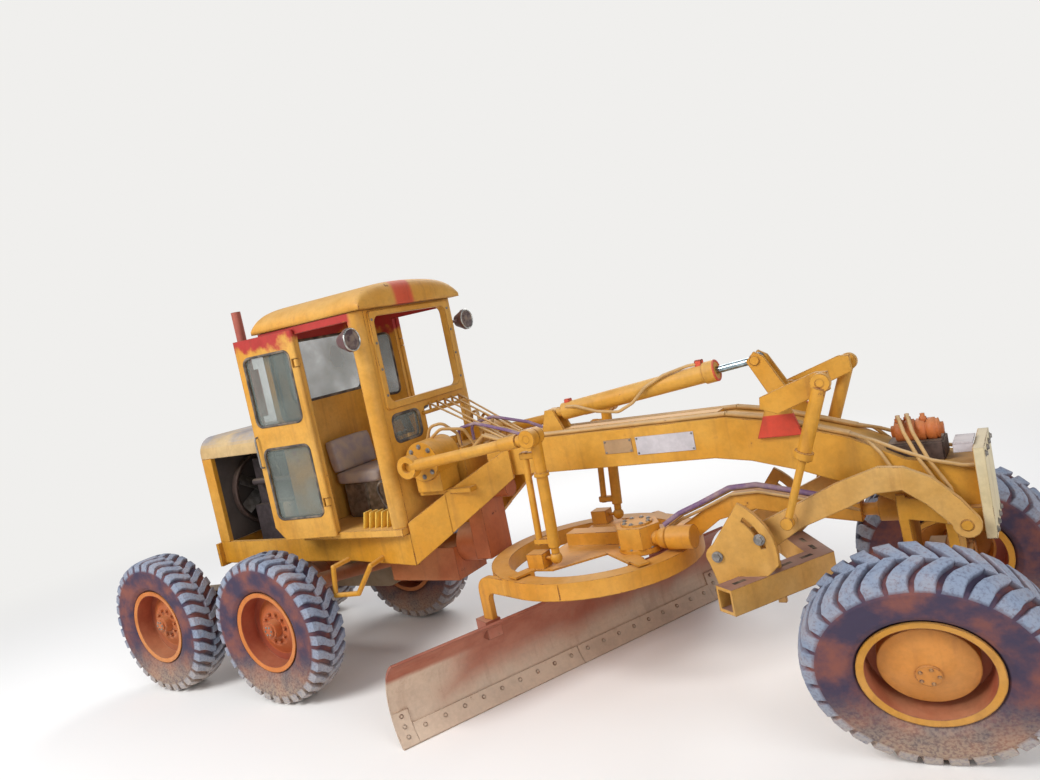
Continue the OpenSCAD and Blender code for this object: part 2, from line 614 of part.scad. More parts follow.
// A point on a yoke at height h above its lean pin
function yoke_point(s, h) = [s * lean_y - h * sin(lean), lean_z + h * cos(lean)];
module lean_bar() color(paint) place() difference() {
    union() {
        right = concat(wheelbase + lean_bar_x, yoke_point(-1, link_h));
        left = concat(wheelbase + lean_bar_x, yoke_point(1, link_h));
        bar(right + [0, 38, 0], left - [0, 38, 0], 18);
        block(right - [13.5, 0, 12], right + [13.5, 40, 12]);
        block(left - [13.5, 40, 12], left + [13.5, 0, 12]);
        for (p = [right, left]) bar_x(p, 27, 27);
    }
    for (s = [-1, 1]) bar_x(concat(wheelbase + lean_bar_x, yoke_point(s, link_h)), 40, link_pin_r + pin_gap);
}
arm_len = 110;
spindle_r = 40;
bearing_w = 42;
bearing_r = 58;
stud_r = 11;
steer_most = 30;
module knuckle(s) color(paint) at_steer(s) {
    z0 = yoke_top + seat_gap;
    difference() {
        union() {
            translate([0, 0, z0]) cylinder(h = knuckle_top - z0, r = 50);
            bar([0, 0, lean_b], [0, s * (hub_face - 12), lean_b], spindle_r);
            // Steering arm with its stud
            block([-arm_len, -24, z0], [0, 24, z0 + 12]);
            translate([-arm_len, 0, z0]) cylinder(h = 12, r = 24);
        }
        translate([0, 0, z0 - 1]) cylinder(h = knuckle_top, r = kingpin_r + pin_gap);
    }
    translate([-arm_len, 0, z0 + 11]) cylinder(h = link_h + 38 - z0, r = stud_r);
}
// The tie rod slides across by this much for each degree of steering, with slots that the studs fit
rod_per_degree = arm_len * sin(steer_most) * 1.025 / steer_most;
module tie_rod() color(paint) place() translate([0, -rod_per_degree * steer, 0]) {
    slot_rear = -arm_len - stud_r - seat_gap;
    slot_front = -arm_len * cos(steer_most) + stud_r + 1.5;
    for (s = [-1, 1]) {
        p = yoke_point(s, link_h);
        translate([wheelbase, p[0], 0]) floor_plate(p[1] - 8, 16) difference() {
            round_rect([slot_rear - 16, -34], [slot_front + 14, 34], 18);
            translate([slot_rear, -18]) square([slot_front - slot_rear, 36]);
        }
    }
    mid = wheelbase + (slot_rear + slot_front) / 2;
    bar([mid, yoke_point(-1, link_h)[0] + 33, yoke_point(-1, link_h)[1]],
        [mid, yoke_point(1, link_h)[0] - 33, yoke_point(1, link_h)[1]], 16);
}
// Front wheels: the hub is a drum with a shallow cone for its face
drum_r = 235;
drum_in = -20;
drum_out = 70;
hub_face = 130;
cap_r = 62;
module front_wheel(s) at_steer(s) translate([0, 0, lean_b]) rotate([-90 * s, 0, 0]) children();
module front_tyre(s) color(rubber) front_wheel(s) tyre_body();
module front_rim(s) color(paint) front_wheel(s) {
    rim_barrel();
    rotate_extrude($fn = 96) polygon([[bead_r - rim_t, drum_in - rim_t], [bead_r - rim_t, drum_in],
        [drum_r, drum_in], [drum_r, drum_out], [cap_r + 8, hub_face], [bearing_r - 3, hub_face],
        [bearing_r - 3, hub_face - rim_t], [cap_r + 8, hub_face - rim_t], [drum_r - rim_t, drum_out - rim_t],
        [drum_r - rim_t, drum_in - rim_t]]);
    // Bearing hub round the spindle, closed by the cap
    difference() {
        translate([0, 0, hub_face - bearing_w]) cylinder(h = bearing_w, r = bearing_r);
        translate([0, 0, hub_face - bearing_w - 1]) cylinder(h = bearing_w - 11 + seat_gap, r = spindle_r + pin_gap);
    }
    translate([0, 0, hub_face]) cylinder(h = 12, r = cap_r);
}

// Drawbar with its ball, circle, blade arms and moldboard
ball_z = 1120;
ball_r = 52;
drawbar_ball = [wheelbase - 256, 0, ball_z];
stud = [circle_x - 30, 500, 1024];
socket_r = 42;
plate_z = circle_z + circle_h + 8;
module round_z(a) translate([circle_x, 0, 0]) rotate([0, 0, a]) children();
module drawbar() color(paint) place() {
    // Arched box beam
    rear = circle_x - 190;
    side_plate(0, 130) polygon([[rear, 1050], [rear, plate_z + 12], [circle_x + 560, plate_z + 12],
        [circle_x + 780, 960], [circle_x + 1000, 1110], [circle_x + 1250, 1170], [circle_x + 1500, 1120],
        [drawbar_ball[0] - 110, ball_z - 60], [drawbar_ball[0] - 110, ball_z + 55], [circle_x + 1500, 1230],
        [circle_x + 1250, 1290], [circle_x + 1120, 1280], [circle_x + 900, 1180], [circle_x + 700, 1060]]);
    bar([drawbar_ball[0] - 110, 0, ball_z], drawbar_ball - [10, 0, 0], 38);
    // Ball with its grease drilling
    difference() {
        translate(drawbar_ball) sphere(r = ball_r);
        bar_y(drawbar_ball, 2 * ball_r + 2, 5);
    }
    // Yoke plate over the circle, with the posts of the lift studs
    floor_plate(plate_z, 12) polygon([[circle_x + 380, -70], [circle_x + 380, 70], [circle_x - 40, 560],
        [circle_x - 240, 560], [circle_x - 240, -560], [circle_x - 40, -560]]);
    for (s = [-1, 1]) on_side(s) {
        block([circle_x - 240, -550, plate_z + 12], [circle_x - 110, -440, stud[2] + 40]);
        bar([circle_x - 112, -stud[1], stud[2]], [stud[0], -stud[1], stud[2]], 12);
        translate([stud[0], -stud[1], stud[2]]) sphere(r = 24);
        // Shoes that hold the circle up
        for (a = [-112, -38]) round_z(a) {
            inner = circle_r - ring_w;
            block([inner - 60, -45, plate_z], [circle_r - 20, 45, plate_z + 14]);
            block([inner - 45, -45, circle_z - 22], [inner - 8, 45, plate_z + 1]);
            block([inner - 45, -45, circle_z - 22], [inner + 25, 45, circle_z - seat_gap]);
        }
        round_z(-38) block([250, -60, plate_z], [circle_r - ring_w, 60, plate_z + 13]);
    }
    // Gear box of the circle's drive, with its hydraulic motor
    translate([circle_x + 440, -150, plate_z]) {
        cylinder(h = 40, r = 150);
        translate([0, 0, 40]) cylinder(h = 150, r = 165, $fn = 6);
        translate([0, 0, 190]) cylinder(h = 12, r = 110);
    }
    translate([circle_x + 650, -190, 1040]) sphere(r = 70);
    bar([circle_x + 560, -175, 1040], [circle_x + 640, -190, 1040], 50);
    bar([circle_x + 680, -192, 1040], [circle_x + 860, -200, 1046], 78);
}
ring_w = 130;
module at_blade() place() translate([circle_x, 0, 0]) rotate([0, 0, -blade_yaw]) children();
arm_front = [430, 625];
arm_rear = [-330, 820];
blade_h_top = blade_h + 10;
module circle_ring() color(paint) at_blade() {
    rotate_extrude($fn = 120) translate([circle_r - ring_w, circle_z]) square([ring_w, circle_h]);
    // Arms that reach back and hook down to the moldboard's brackets
    run = norm(arm_front - arm_rear);
    for (s = [-1, 1]) on_side(s) translate([arm_front[0], -arm_front[1], 0])
        rotate([0, 0, 180 + atan2(arm_rear[1] - arm_front[1], arm_front[0] - arm_rear[0])])
            side_plate(0, 45) polygon(concat([[0, circle_z + 12], [0, circle_z + circle_h - 8],
                [run * 0.45, circle_z + 90], [run * 0.75, circle_z + 115]],
                arc([run - 110, circle_z + 5], 110, 80, 0, 6), [[run, blade_h_top], [run - 90, blade_h_top]],
                arc([run - 150, circle_z - 60], 60, 0, 80, 4), [[run * 0.45, circle_z - 20]]));
}
blade_t = 20;
sag = 165;
blade_low_x = -285;
blade_pitch = 11;
module moldboard() color("#9c5140") at_blade() {
    c = circle_through(blade_h / cos(blade_pitch), sag);
    y0 = -blade_len / 2 - blade_shift;
    difference() {
        translate([blade_low_x, y0 + blade_len, 0]) rotate([90, 0, 0]) linear_extrude(height = blade_len)
            rotate(-blade_pitch) translate([c[0] - sag, blade_h / cos(blade_pitch) / 2])
                polygon(concat(arc([0, 0], c[0], 180 - c[1], 180 + c[1], 14),
                    arc([0, 0], c[0] + blade_t, 180 + c[1], 180 - c[1], 14)));
        translate([-2000, y0 - 1, -200]) cube([4000, blade_len + 2, 200]);
    }
    // Brackets on the back, into which the arms hook
    for (s = [-1, 1]) on_side(s) block([arm_rear[0] - 60, -arm_rear[1] - 60, blade_h - 120],
        [arm_rear[0] + 90, -arm_rear[1] + 60, blade_h_top - seat_gap]);
}
// Radius and half angle of an arc with a given chord and rise
function circle_through(chord, rise) = let (r = (chord * chord / 4 + rise * rise) / (2 * rise))
    [r, asin(chord / 2 / r)];

// Lift arms and links of the drawbar
arm_tip = [circle_x + 20, 1880];
lift_pin_r = 38;
link_top_r = 26;
module lift_arm(s) color(paint) place() on_side(s) {
    y = -lift_y - 60;
    difference() {
        union() {
            bar_y([lift_pivot[0], y, lift_pivot[1]], 70, 85);
            bar([lift_pivot[0] + 40, y, lift_pivot[1] + 4], [arm_tip[0] - 30, y, arm_tip[1] - 3], 42, 36);
            bar([arm_tip[0] - 230, y, arm_tip[1] - 23], [arm_tip[0] - 90, y, arm_tip[1] - 9], 46);
            bar_y([arm_tip[0], y, arm_tip[1]], 70, 62);
        }
        bar_y([lift_pivot[0], y, lift_pivot[1]], 80, lift_pin_r + pin_gap);
        bar_y([arm_tip[0], y, arm_tip[1]], 80, link_top_r + pin_gap);
    }
}
module lift_link(s) color(paint) place() on_side(s) {
    top = [arm_tip[0], -lift_y + 20, arm_tip[1]];
    low = [stud[0], -stud[1], stud[2]];
    dir = (low - top) / norm(low - top);
    bar_y([arm_tip[0], -lift_y - 30, arm_tip[1]], 130, link_top_r);
    bar_y([arm_tip[0], -lift_y + 20, arm_tip[1]], 60, 58);
    bar(top + dir * 40, low - dir * 80, 40);
    bar(top + dir * 250, top + dir * 276, 52);
    bar(low - dir * 81, low - dir * 36, 28);
    // Socket that hangs over the ball of the drawbar's stud
    difference() {
        translate(low) sphere(r = socket_r);
        translate(low) sphere(r = socket_r - 8);
        bar(low - [80, 0, 6], low, 29);
    }
}

// Scarifier with its bellcrank, links and cylinder
scar_pin = [wheelbase + 212, 1100];
bellcrank_x = 4850;
bellcrank_z = 1875;
shaft_r = 40;
crank_front = [5170, 1975];
crank_eye = [4722, 2115];
link_low = [4850, 1175];
link_y = 405;
link_w = 48;
block_z = [700, 860];
v_rear = [4470, 620];
v_apex = [4890, 0];
quadrant = [4400, 990];
module scar_arm_outline() polygon(concat([[4330, 1010], [4330, block_z[1]], [4620, 930], [4900, 1115], [5180, 1225],
    [5340, 1300], [5480, 1310], [5590, 1225], [scar_pin[0] - 70, 1100]], arc(scar_pin, 72, 190, 390, 8),
    [[5760, 1245], [5640, 1370], [5500, 1440], [5370, 1450], [5130, 1370], [4900, 1265]]));
scar_y = scar_w / 2 - scar_t / 2;
module quadrant_plate() difference() {
    polygon(concat(arc(quadrant, 75, 110, 215, 6), [[4400, block_z[0] + 10], [4560, block_z[0] + 10],
        [4690, block_z[1]]], arc(quadrant, 370, -10, 62, 8)));
    polygon(concat(arc(quadrant, 310, 8, 50, 8), arc(quadrant, 278, 50, 8, 8)));
}
module scarifier() color(paint) place() {
    for (s = [-1, 1]) on_side(s) {
        difference() {
            side_plate(-scar_y, scar_t) scar_arm_outline();
            bar_y([scar_pin[0], -scar_y, scar_pin[1]], 100, 30 + pin_gap);
        }
        side_plate(-scar_y - 120, 30) quadrant_plate();
        bar_y([quadrant[0], -scar_y - 65, quadrant[1]], 150, 30);
        // Boss for the foot of the lift link
        bar_y([link_low[0], -(scar_y + scar_t / 2 - 1 + link_y - link_w / 2) / 2, link_low[1]],
            link_y - link_w / 2 - scar_y - scar_t / 2 + 1 - seat_gap, 34);
        v_leg();
    }
    tooth(-0.45);
}
// One hollow leg of the block, from its open end to the apex, with slots for the teeth
module v_leg() difference() {
    v_bar(0, 150, block_z[0], block_z[1]);
    v_bar(-40, 110, block_z[0] + 22, block_z[1] - 22);
    translate([v_apex[0] - 600, 0, 0]) cube([1200, 600, 1200]);
}
module v_bar(extra, t, lo, hi) {
    run = [v_apex[0] - v_rear[0], v_rear[1]];
    unit = run / norm(run);
    translate([v_rear[0] + unit[0] * extra, -v_rear[1] + unit[1] * extra, 0]) rotate([0, 0, atan2(run[1], run[0])])
        side_plate(0, t) polygon([[0, lo], [norm(run) * 1.2, lo], [norm(run) * 1.2, hi], [0, hi]]);
}
module tooth(share) {
    y = v_rear[1] * share;
    x = v_apex[0] - (v_apex[0] - v_rear[0]) * abs(share);
    block([x - 24, y - 15, block_z[0] - 60], [x + 24, y + 15, block_z[1] + 40]);
}
module bellcrank() color(paint) place() {
    bar_y([bellcrank_x, 0, bellcrank_z], 2 * scar_y + 98, shaft_r);
    for (s = [-1, 1]) side_plate(s * (scar_y + 30), 40)
        polygon([[bellcrank_x - 60, bellcrank_z - 20], [bellcrank_x + 40, bellcrank_z - 60],
            [crank_front[0] + 30, crank_front[1] - 55], [crank_front[0] + 30, crank_front[1] + 50],
            [crank_front[0] - 40, crank_front[1] + 55], [bellcrank_x - 50, bellcrank_z + 50]]);
    for (s = [-1, 1]) bar_y([crank_front[0], s * (scar_y + 89), crank_front[1]], 80, 24);
    for (y = [-45, 45]) side_plate(y, 24)
        polygon([[bellcrank_x - 70, bellcrank_z], [bellcrank_x + 60, bellcrank_z],
            [crank_eye[0] + 55, crank_eye[1] + 20], [crank_eye[0], crank_eye[1] + 55],
            [crank_eye[0] - 55, crank_eye[1]]]);
    for (s = [-1, 1]) bar_y([crank_eye[0], s * 61, crank_eye[1]], 12, 30);
}
module scarifier_links() color(paint) place() for (s = [-1, 1]) on_side(s) {
    a = [crank_front[0], -link_y, crank_front[1]];
    b = [link_low[0], -link_y, link_low[1]];
    dir = (b - a) / norm(b - a);
    difference() {
        union() {
            bar_y(a, link_w, 55);
            bar(a + dir * 30, (a + b) / 2, 40);
        }
        bar_y(a, link_w + 12, 24 + pin_gap);
    }
    bar((a + b) / 2 - dir * 20, (a + b) / 2 + dir * 24, 54);
    bar((a + b) / 2, b - dir * 20, link_w / 2 - 1);
    bar_y(b, link_w, 38);
}
scar_cyl = [3182, 1935];
barrel_len = 1240;
barrel_r = 62;
rod_r = 24;
cyl_run = norm(crank_eye - scar_cyl);
module along_cylinder() place() translate([scar_cyl[0], 0, scar_cyl[1]])
    rotate([0, -atan2(crank_eye[1] - scar_cyl[1], crank_eye[0] - scar_cyl[0]), 0]) children();
module scarifier_barrel() color(paint) along_cylinder() difference() {
    union() {
        bar_y([0, 0, 0], 80 - 1, 44);
        bar([30, 0, 0], [100, 0, 0], 34);
        bar([98, 0, 0], [barrel_len, 0, 0], barrel_r);
        bar([barrel_len - 40, 0, 0], [barrel_len + 40, 0, 0], barrel_r + 10);
    }
    bar_y([0, 0, 0], 90, 24 + pin_gap);
    bar([200, 0, 0], [barrel_len + 60, 0, 0], rod_r + pin_gap);
}
module scarifier_rod() color(steel) along_cylinder() {
    bar([500, 0, 0], [cyl_run - 30, 0, 0], rod_r);
    bar_y([cyl_run, 0, 0], 66 - 2 * seat_gap, 44);
}

main_beam();
front_bolster();
rear_frame();
drivetrain();
engine();
radiator();
fan();
hood();
exhaust();
cab_floor();
cab_roof();
cab_front();
cab_sides();
cab_rear();
cab_glass();
door(-1);  // door_right
door(1);  // door_left
door_glass(-1);  // door_glass_right
door_glass(1);  // door_glass_left
seat();
controls();
work_lamps();
valve_bank();
hydraulic_lines();
tandem(-1);  // tandem_right
tandem(1);  // tandem_left
rear_tyre(0);  // rear_tyre_rr
rear_tyre(1);  // rear_tyre_rf
rear_tyre(2);  // rear_tyre_lr
rear_tyre(3);  // rear_tyre_lf
rear_rim(0);  // rear_rim_rr
rear_rim(1);  // rear_rim_rf
rear_rim(2);  // rear_rim_lr
rear_rim(3);  // rear_rim_lf
front_axle();
lean_yoke(-1);  // lean_yoke_right
lean_yoke(1);  // lean_yoke_left
lean_bar();
knuckle(-1);  // knuckle_right
knuckle(1);  // knuckle_left
tie_rod();
front_tyre(-1);  // front_tyre_right
front_tyre(1);  // front_tyre_left
front_rim(-1);  // front_rim_right
front_rim(1);  // front_rim_left
drawbar();
circle_ring();  // circle
moldboard();
lift_arm(-1);  // lift_arm_right
lift_arm(1);  // lift_arm_left
lift_link(-1);  // lift_link_right
lift_link(1);  // lift_link_left
scarifier();
bellcrank();
scarifier_links();
scarifier_barrel();
scarifier_rod();
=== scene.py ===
"""Finishes, tyres and small parts of an old motor grader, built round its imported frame.

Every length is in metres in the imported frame: +X is forward, +Y is the left side, +Z is up.
"""

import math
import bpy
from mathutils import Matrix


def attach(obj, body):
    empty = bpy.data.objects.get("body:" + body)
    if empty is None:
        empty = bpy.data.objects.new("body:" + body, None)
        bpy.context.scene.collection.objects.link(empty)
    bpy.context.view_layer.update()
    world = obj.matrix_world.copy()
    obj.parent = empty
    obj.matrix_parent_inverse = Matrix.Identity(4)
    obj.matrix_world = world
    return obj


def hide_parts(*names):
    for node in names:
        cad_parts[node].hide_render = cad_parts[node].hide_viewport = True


bl_info = {
    "name": "Motor Grader",
    "version": (1, 0, 0),
    "blender": (4, 5, 0),
    "location": "View3D > Sidebar > Motor Grader",
    "description": "Weathered finishes, lugged tyres and small parts of a six-wheel motor grader",
    "category": "Object",
}

import bmesh
import bpy
from bpy.props import FloatProperty, FloatVectorProperty, IntProperty, PointerProperty
from mathutils import Matrix, Vector

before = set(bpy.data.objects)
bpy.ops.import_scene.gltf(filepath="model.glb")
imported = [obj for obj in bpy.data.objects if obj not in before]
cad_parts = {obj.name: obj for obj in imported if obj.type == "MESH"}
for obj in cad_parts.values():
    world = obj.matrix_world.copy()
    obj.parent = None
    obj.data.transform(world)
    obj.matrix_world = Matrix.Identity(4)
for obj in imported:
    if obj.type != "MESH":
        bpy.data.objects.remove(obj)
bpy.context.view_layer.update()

# The frame's X starts under the middle of the machine. Lengths here start at the tandem pivot, which is at this X
TANDEM_X = -2.41706
WHEELBASE = 5.560
TYRE_RADIUS = 0.612
SIDES = ((-1, "right"), (1, "left"))


def along(x, y, z):
    """A point given by its distance ahead of the tandem pivot, across and up."""
    return Vector((x + TANDEM_X, y, z))


def tint(red, green, blue, alpha=1.0):
    """A colour picked in display values from 0 to 255, as Blender's linear colour."""
    def linear(value):
        share = value / 255
        return share / 12.92 if share <= 0.04045 else ((share + 0.055) / 1.055) ** 2.4

    return linear(red), linear(green), linear(blue), alpha


# Sizes and colours


def length(name, default, about):
    return FloatProperty(name=name, description=about, default=default, min=0.0, unit="LENGTH", precision=4)


def colour(name, default, about):
    return FloatVectorProperty(name=name, description=about, default=default, size=4, min=0.0, max=1.0,
                               subtype="COLOR")


class GraderSizes(bpy.types.PropertyGroup):
    """Sizes of the parts that are added to the frame."""

    rear_lugs: IntProperty(name="Rear lugs", description="Lugs on each side of a driven tyre", default=32, min=8)
    front_lugs: IntProperty(name="Front lugs", description="Lugs on each side of a steered tyre", default=30, min=8)
    half_track: length("Half track", 0.864, "From the centreline to the middle of a tyre")
    lean: FloatProperty(name="Lean", description="Lean of the front wheels to the right", subtype="ANGLE",
                        default=math.radians(18))
    steer: FloatProperty(name="Steer", description="Steering of the front wheels to the left", subtype="ANGLE",
                         default=math.radians(6))
    lean_pin_drop: length("Lean pin drop", 0.120, "From a front wheel's centre down to its lean pin")
    bolt_radius: length("Bolt radius", 0.014, "Half the width of a bolt head across its corners")
    hose_radius: length("Hose radius", 0.013, "Radius of a hydraulic hose")
    gasket_radius: length("Gasket radius", 0.011, "Radius of the rubber round a window pane")


class GraderColours(bpy.types.PropertyGroup):
    """Colours of the finishes before wear."""

    yellow: colour("Machine yellow", tint(196, 134, 28), "Paint on the beam and the frame")
    yellow_faded: colour("Faded yellow", tint(210, 160, 68), "Machine yellow where the sun has bleached it")
    cab: colour("Cab yellow", tint(200, 140, 44), "Paint on the cab")
    cab_faded: colour("Faded cab yellow", tint(214, 168, 86), "Cab paint where it is bleached")
    buff: colour("Buff", tint(198, 146, 66), "Dusty paint on the scarifier")
    hood_grey: colour("Worn hood", tint(138, 138, 148), "Bare worn top of the hood")
    rim_red: colour("Rim red", tint(178, 84, 36), "Paint on the rims")
    hub_orange: colour("Hub orange", tint(196, 122, 36), "Paint on the hubs")
    primer: colour("Primer", tint(168, 44, 40), "Red primer that shows on the cab")
    red_paint: colour("Red paint", tint(198, 60, 36), "Paint on the plates under the bellcrank and on the collar")
    rust: colour("Rust", tint(104, 52, 34), "Rust in the chips and runs")
    # The moldboard's red-brown is rust with painted shade: the curved face's shade along its top and the circle's
    # shadow across its middle.
    blade_rust_and_shade: colour("Blade", tint(150, 72, 50), "Rusted paint of the moldboard")
    blade_pale: colour("Pale blade", tint(198, 172, 150), "Dusty end of the moldboard")
    dust: colour("Dust", tint(198, 176, 148), "Dry soil on the upper sides")
    rubber: colour("Rubber", tint(64, 56, 76), "Sidewalls and grooves of the tyres")
    # The tops of the lugs are a painted highlight: the pale sky-blue of sunlit tread, over scuffing.
    tread_sheen_and_scuff: colour("Worn rubber", tint(132, 144, 164), "Scuffed tops of the lugs")
    steel: colour("Steel", tint(150, 146, 142), "Worn bare steel")
    iron: colour("Engine iron", tint(62, 52, 56), "Oily castings of the engine")
    glass: colour("Glass", tint(150, 158, 150), "Film of dust on the panes")
    vinyl: colour("Seat vinyl", tint(156, 144, 146), "Cover of the seat")


def sizes():
    return bpy.context.scene.grader_sizes


def hues():
    return bpy.context.scene.grader_colours


# Node helpers


def feed(tree, node, inputs):
    """Fills each named input of a node with a value, or links it from a socket."""
    for name, value in inputs.items():
        if isinstance(value, bpy.types.NodeSocket):
            tree.links.new(value, node.inputs[name])
        else:
            node.inputs[name].default_value = value


def wire(tree, kind, inputs=None, **settings):
    """Adds a node with its settings, and fills its inputs."""
    made = tree.nodes.new(kind)
    for name, value in settings.items():
        setattr(made, name, value)
    feed(tree, made, inputs or {})
    return made


def maths(tree, operation, *values, clamp=False):
    """One value from two or more by the same operation, clamped at the end."""
    whole = values[0]
    for i, value in enumerate(values[1:], 2):
        whole = wire(tree, "ShaderNodeMath", {0: whole, 1: value}, operation=operation,
                     use_clamp=clamp and i == len(values)).outputs[0]
    return whole


def times(tree, *values, clamp=False):
    return maths(tree, "MULTIPLY", *values, clamp=clamp)


def plus(tree, *values, clamp=False):
    return maths(tree, "ADD", *values, clamp=clamp)


def unsigned(tree, value):
    """A value without its sign."""
    return maths(tree, "ABSOLUTE", value, 0.0)


def vectors(tree, operation, a, b=None):
    """A vector operation's node. Its result is its first output, or Value where that is a number."""
    return wire(tree, "ShaderNodeVectorMath", {0: a} if b is None else {0: a, 1: b}, operation=operation).outputs


def here(tree):
    """A point's place in its own object, which is its place in the frame at rest."""
    return wire(tree, "ShaderNodeTexCoord").outputs["Object"]


def height_of(tree, vector):
    return wire(tree, "ShaderNodeSeparateXYZ", {0: vector}).outputs["Z"]


def ramp(tree, value, low, high, to_low=0.0, to_high=1.0):
    """A smooth step of value between low and high."""
    return wire(tree, "ShaderNodeMapRange", {"Value": value, "From Min": low, "From Max": high,
                                             "To Min": to_low, "To Max": to_high},
                interpolation_type="SMOOTHSTEP", clamp=True).outputs["Result"]


def blend_colours(tree, share, a, b, mode="MIX"):
    return wire(tree, "ShaderNodeMix", {0: share, 6: a, 7: b}, data_type="RGBA", blend_type=mode).outputs[2]


def noise(tree, where, scale, detail=3.0, rough=0.55):
    return wire(tree, "ShaderNodeTexNoise", {"Vector": where, "Scale": scale, "Detail": detail,
                                             "Roughness": rough}).outputs["Fac"]


def bump(tree, strength, distance, height, **more):
    """The normal of a surface with a fine relief."""
    return wire(tree, "ShaderNodeBump", {"Strength": strength, "Distance": distance, "Height": height, **more}
                ).outputs["Normal"]


def grouped(tree, name, inputs=None):
    """A node that uses one of the shared groups."""
    return wire(tree, "ShaderNodeGroup", inputs, node_tree=bpy.data.node_groups[name])


def socket(group, name, way, kind, default=None):
    made = group.interface.new_socket(name=name, in_out=way, socket_type=kind)
    if default is not None:
        made.default_value = default
    return made


def shader_group(name, inputs, outputs):
    """An empty shader node group with its named sockets, what it is given, and its last node."""
    group = bpy.data.node_groups.new(name, "ShaderNodeTree")
    for label, kind, default in inputs:
        socket(group, label, "INPUT", kind, default)
    for label, kind in outputs:
        socket(group, label, "OUTPUT", kind)
    return group, group.nodes.new("NodeGroupInput").outputs, group.nodes.new("NodeGroupOutput")


FLOAT, COLOUR, VECTOR = "NodeSocketFloat", "NodeSocketColor", "NodeSocketVector"


# Shared effects

WEAR = (("Edge Radius", FLOAT, 0.012), ("Chips", FLOAT, 0.4), ("Dust", FLOAT, 0.4), ("Fade", FLOAT, 0.5))


def weather_group():
    """Masks of weather in the open: bleaching, chips at edges, rust runs and settled dust."""
    group, given, result = shader_group("Weather", WEAR, (
        *((name, FLOAT) for name in ("Fade", "Chip", "Stain", "Dust", "Grain")), ("Normal", VECTOR)))
    place = here(group)
    normal = wire(group, "ShaderNodeNewGeometry").outputs["Normal"]
    rounded = wire(group, "ShaderNodeBevel", {"Radius": given["Edge Radius"]}, samples=4).outputs["Normal"]
    edge = ramp(group, vectors(group, "DOT_PRODUCT", rounded, normal)["Value"], 0.995, 0.86)
    up, height = height_of(group, normal), height_of(group, place)
    broad = noise(group, place, 1.4, 4.0)
    middle = noise(group, place, 7.0, 5.0, 0.6)
    fine = noise(group, place, 38.0, 4.0, 0.6)
    stretched = wire(group, "ShaderNodeMapping", {"Vector": place, "Scale": (17.0, 17.0, 1.1)}).outputs[0]
    runs = noise(group, stretched, 1.0, 3.0)
    # Bleached patches, mostly on what faces the sky
    bleached = plus(group, ramp(group, broad, 0.38, 0.66), ramp(group, up, 0.2, 0.9, 0.0, 0.6))
    fade = times(group, bleached, given["Fade"], clamp=True)
    # Chips break out where the noise is high, and sooner at an edge
    wear = plus(group, times(group, middle, 0.62), times(group, fine, 0.38))
    limit = maths(group, "SUBTRACT", 0.74, times(group, given["Chips"], 0.16))
    over = maths(group, "SUBTRACT", plus(group, wear, times(group, edge, 0.17)), limit)
    chip, halo = ramp(group, over, 0.0, 0.035), ramp(group, over, -0.10, 0.03)
    side = ramp(group, unsigned(group, up), 0.75, 0.3)
    run = times(group, ramp(group, runs, 0.52, 0.74), side, given["Chips"])
    stain = plus(group, times(group, halo, 0.45), times(group, run, 0.75), clamp=True)
    # Dust lies on top, and is thrown up from the ground
    thrown, lying = ramp(group, height, 1.0, 0.05, 0.0, 0.75), ramp(group, up, 0.25, 0.9, 0.0, 0.9)
    settled = plus(group, maths(group, "MAXIMUM", thrown, lying), 0.12)
    patchy = ramp(group, plus(group, times(group, broad, 0.5), times(group, middle, 0.5)), 0.36, 0.62, 0.35, 1.0)
    dust = times(group, settled, patchy, given["Dust"], clamp=True)
    feed(group, result, {"Fade": fade, "Chip": chip, "Stain": stain, "Dust": dust, "Grain": wear, "Normal": rounded})


def worn_paint_group():
    """Old paint over steel: its colour, roughness and relief."""
    group, given, result = shader_group("Worn Paint", (
        ("Paint", COLOUR, (0.8, 0.5, 0.1, 1)), ("Faded", COLOUR, (0.8, 0.6, 0.3, 1)),
        ("Rust", COLOUR, (0.14, 0.04, 0.02, 1)), ("Dust Colour", COLOUR, (0.5, 0.42, 0.3, 1)),
        *WEAR, ("Gloss", FLOAT, 0.45),
    ), (("Colour", COLOUR), ("Roughness", FLOAT), ("Normal", VECTOR)))
    mask = grouped(group, "Weather", {name: given[name] for name, _, _ in WEAR}).outputs
    coat = blend_colours(group, mask["Fade"], given["Paint"], given["Faded"])
    shade = ramp(group, mask["Grain"], 0.3, 0.7, 0.84, 1.1)
    grey = wire(group, "ShaderNodeCombineColor", {0: shade, 1: shade, 2: shade}).outputs[0]
    coat = blend_colours(group, 1.0, coat, grey, "MULTIPLY")
    coat = blend_colours(group, times(group, mask["Stain"], 0.6), coat, given["Rust"])
    coat = blend_colours(group, mask["Chip"], coat, given["Rust"])
    coat = blend_colours(group, mask["Dust"], coat, given["Dust Colour"])
    rough = plus(group, given["Gloss"], times(group, mask["Dust"], 0.4), times(group, mask["Chip"], 0.35), clamp=True)
    relief = maths(group, "SUBTRACT", times(group, mask["Grain"], 0.25), mask["Chip"])
    feed(group, result, {"Colour": coat, "Roughness": rough,
                         "Normal": bump(group, 0.35, 0.0015, relief, Normal=mask["Normal"])})


def axle_distance_group():
    """How far a point is from a wheel's axle, so that the hub and the rim can differ."""
    group, given, result = shader_group("Distance From Axle", (
        ("Centre", VECTOR, (0, 0, 0)), ("Axle", VECTOR, (0, 1, 0))), (("Distance", FLOAT),))
    arm = vectors(group, "SUBTRACT", here(group), given["Centre"])[0]
    across = vectors(group, "CROSS_PRODUCT", arm, given["Axle"])[0]
    feed(group, result, {"Distance": vectors(group, "LENGTH", across)["Value"]})


# Materials


def new_material(name):
    """An empty material, its tree and its shader."""
    made = bpy.data.materials.new(name)
    made.use_nodes = True
    return made, made.node_tree, made.node_tree.nodes["Principled BSDF"]


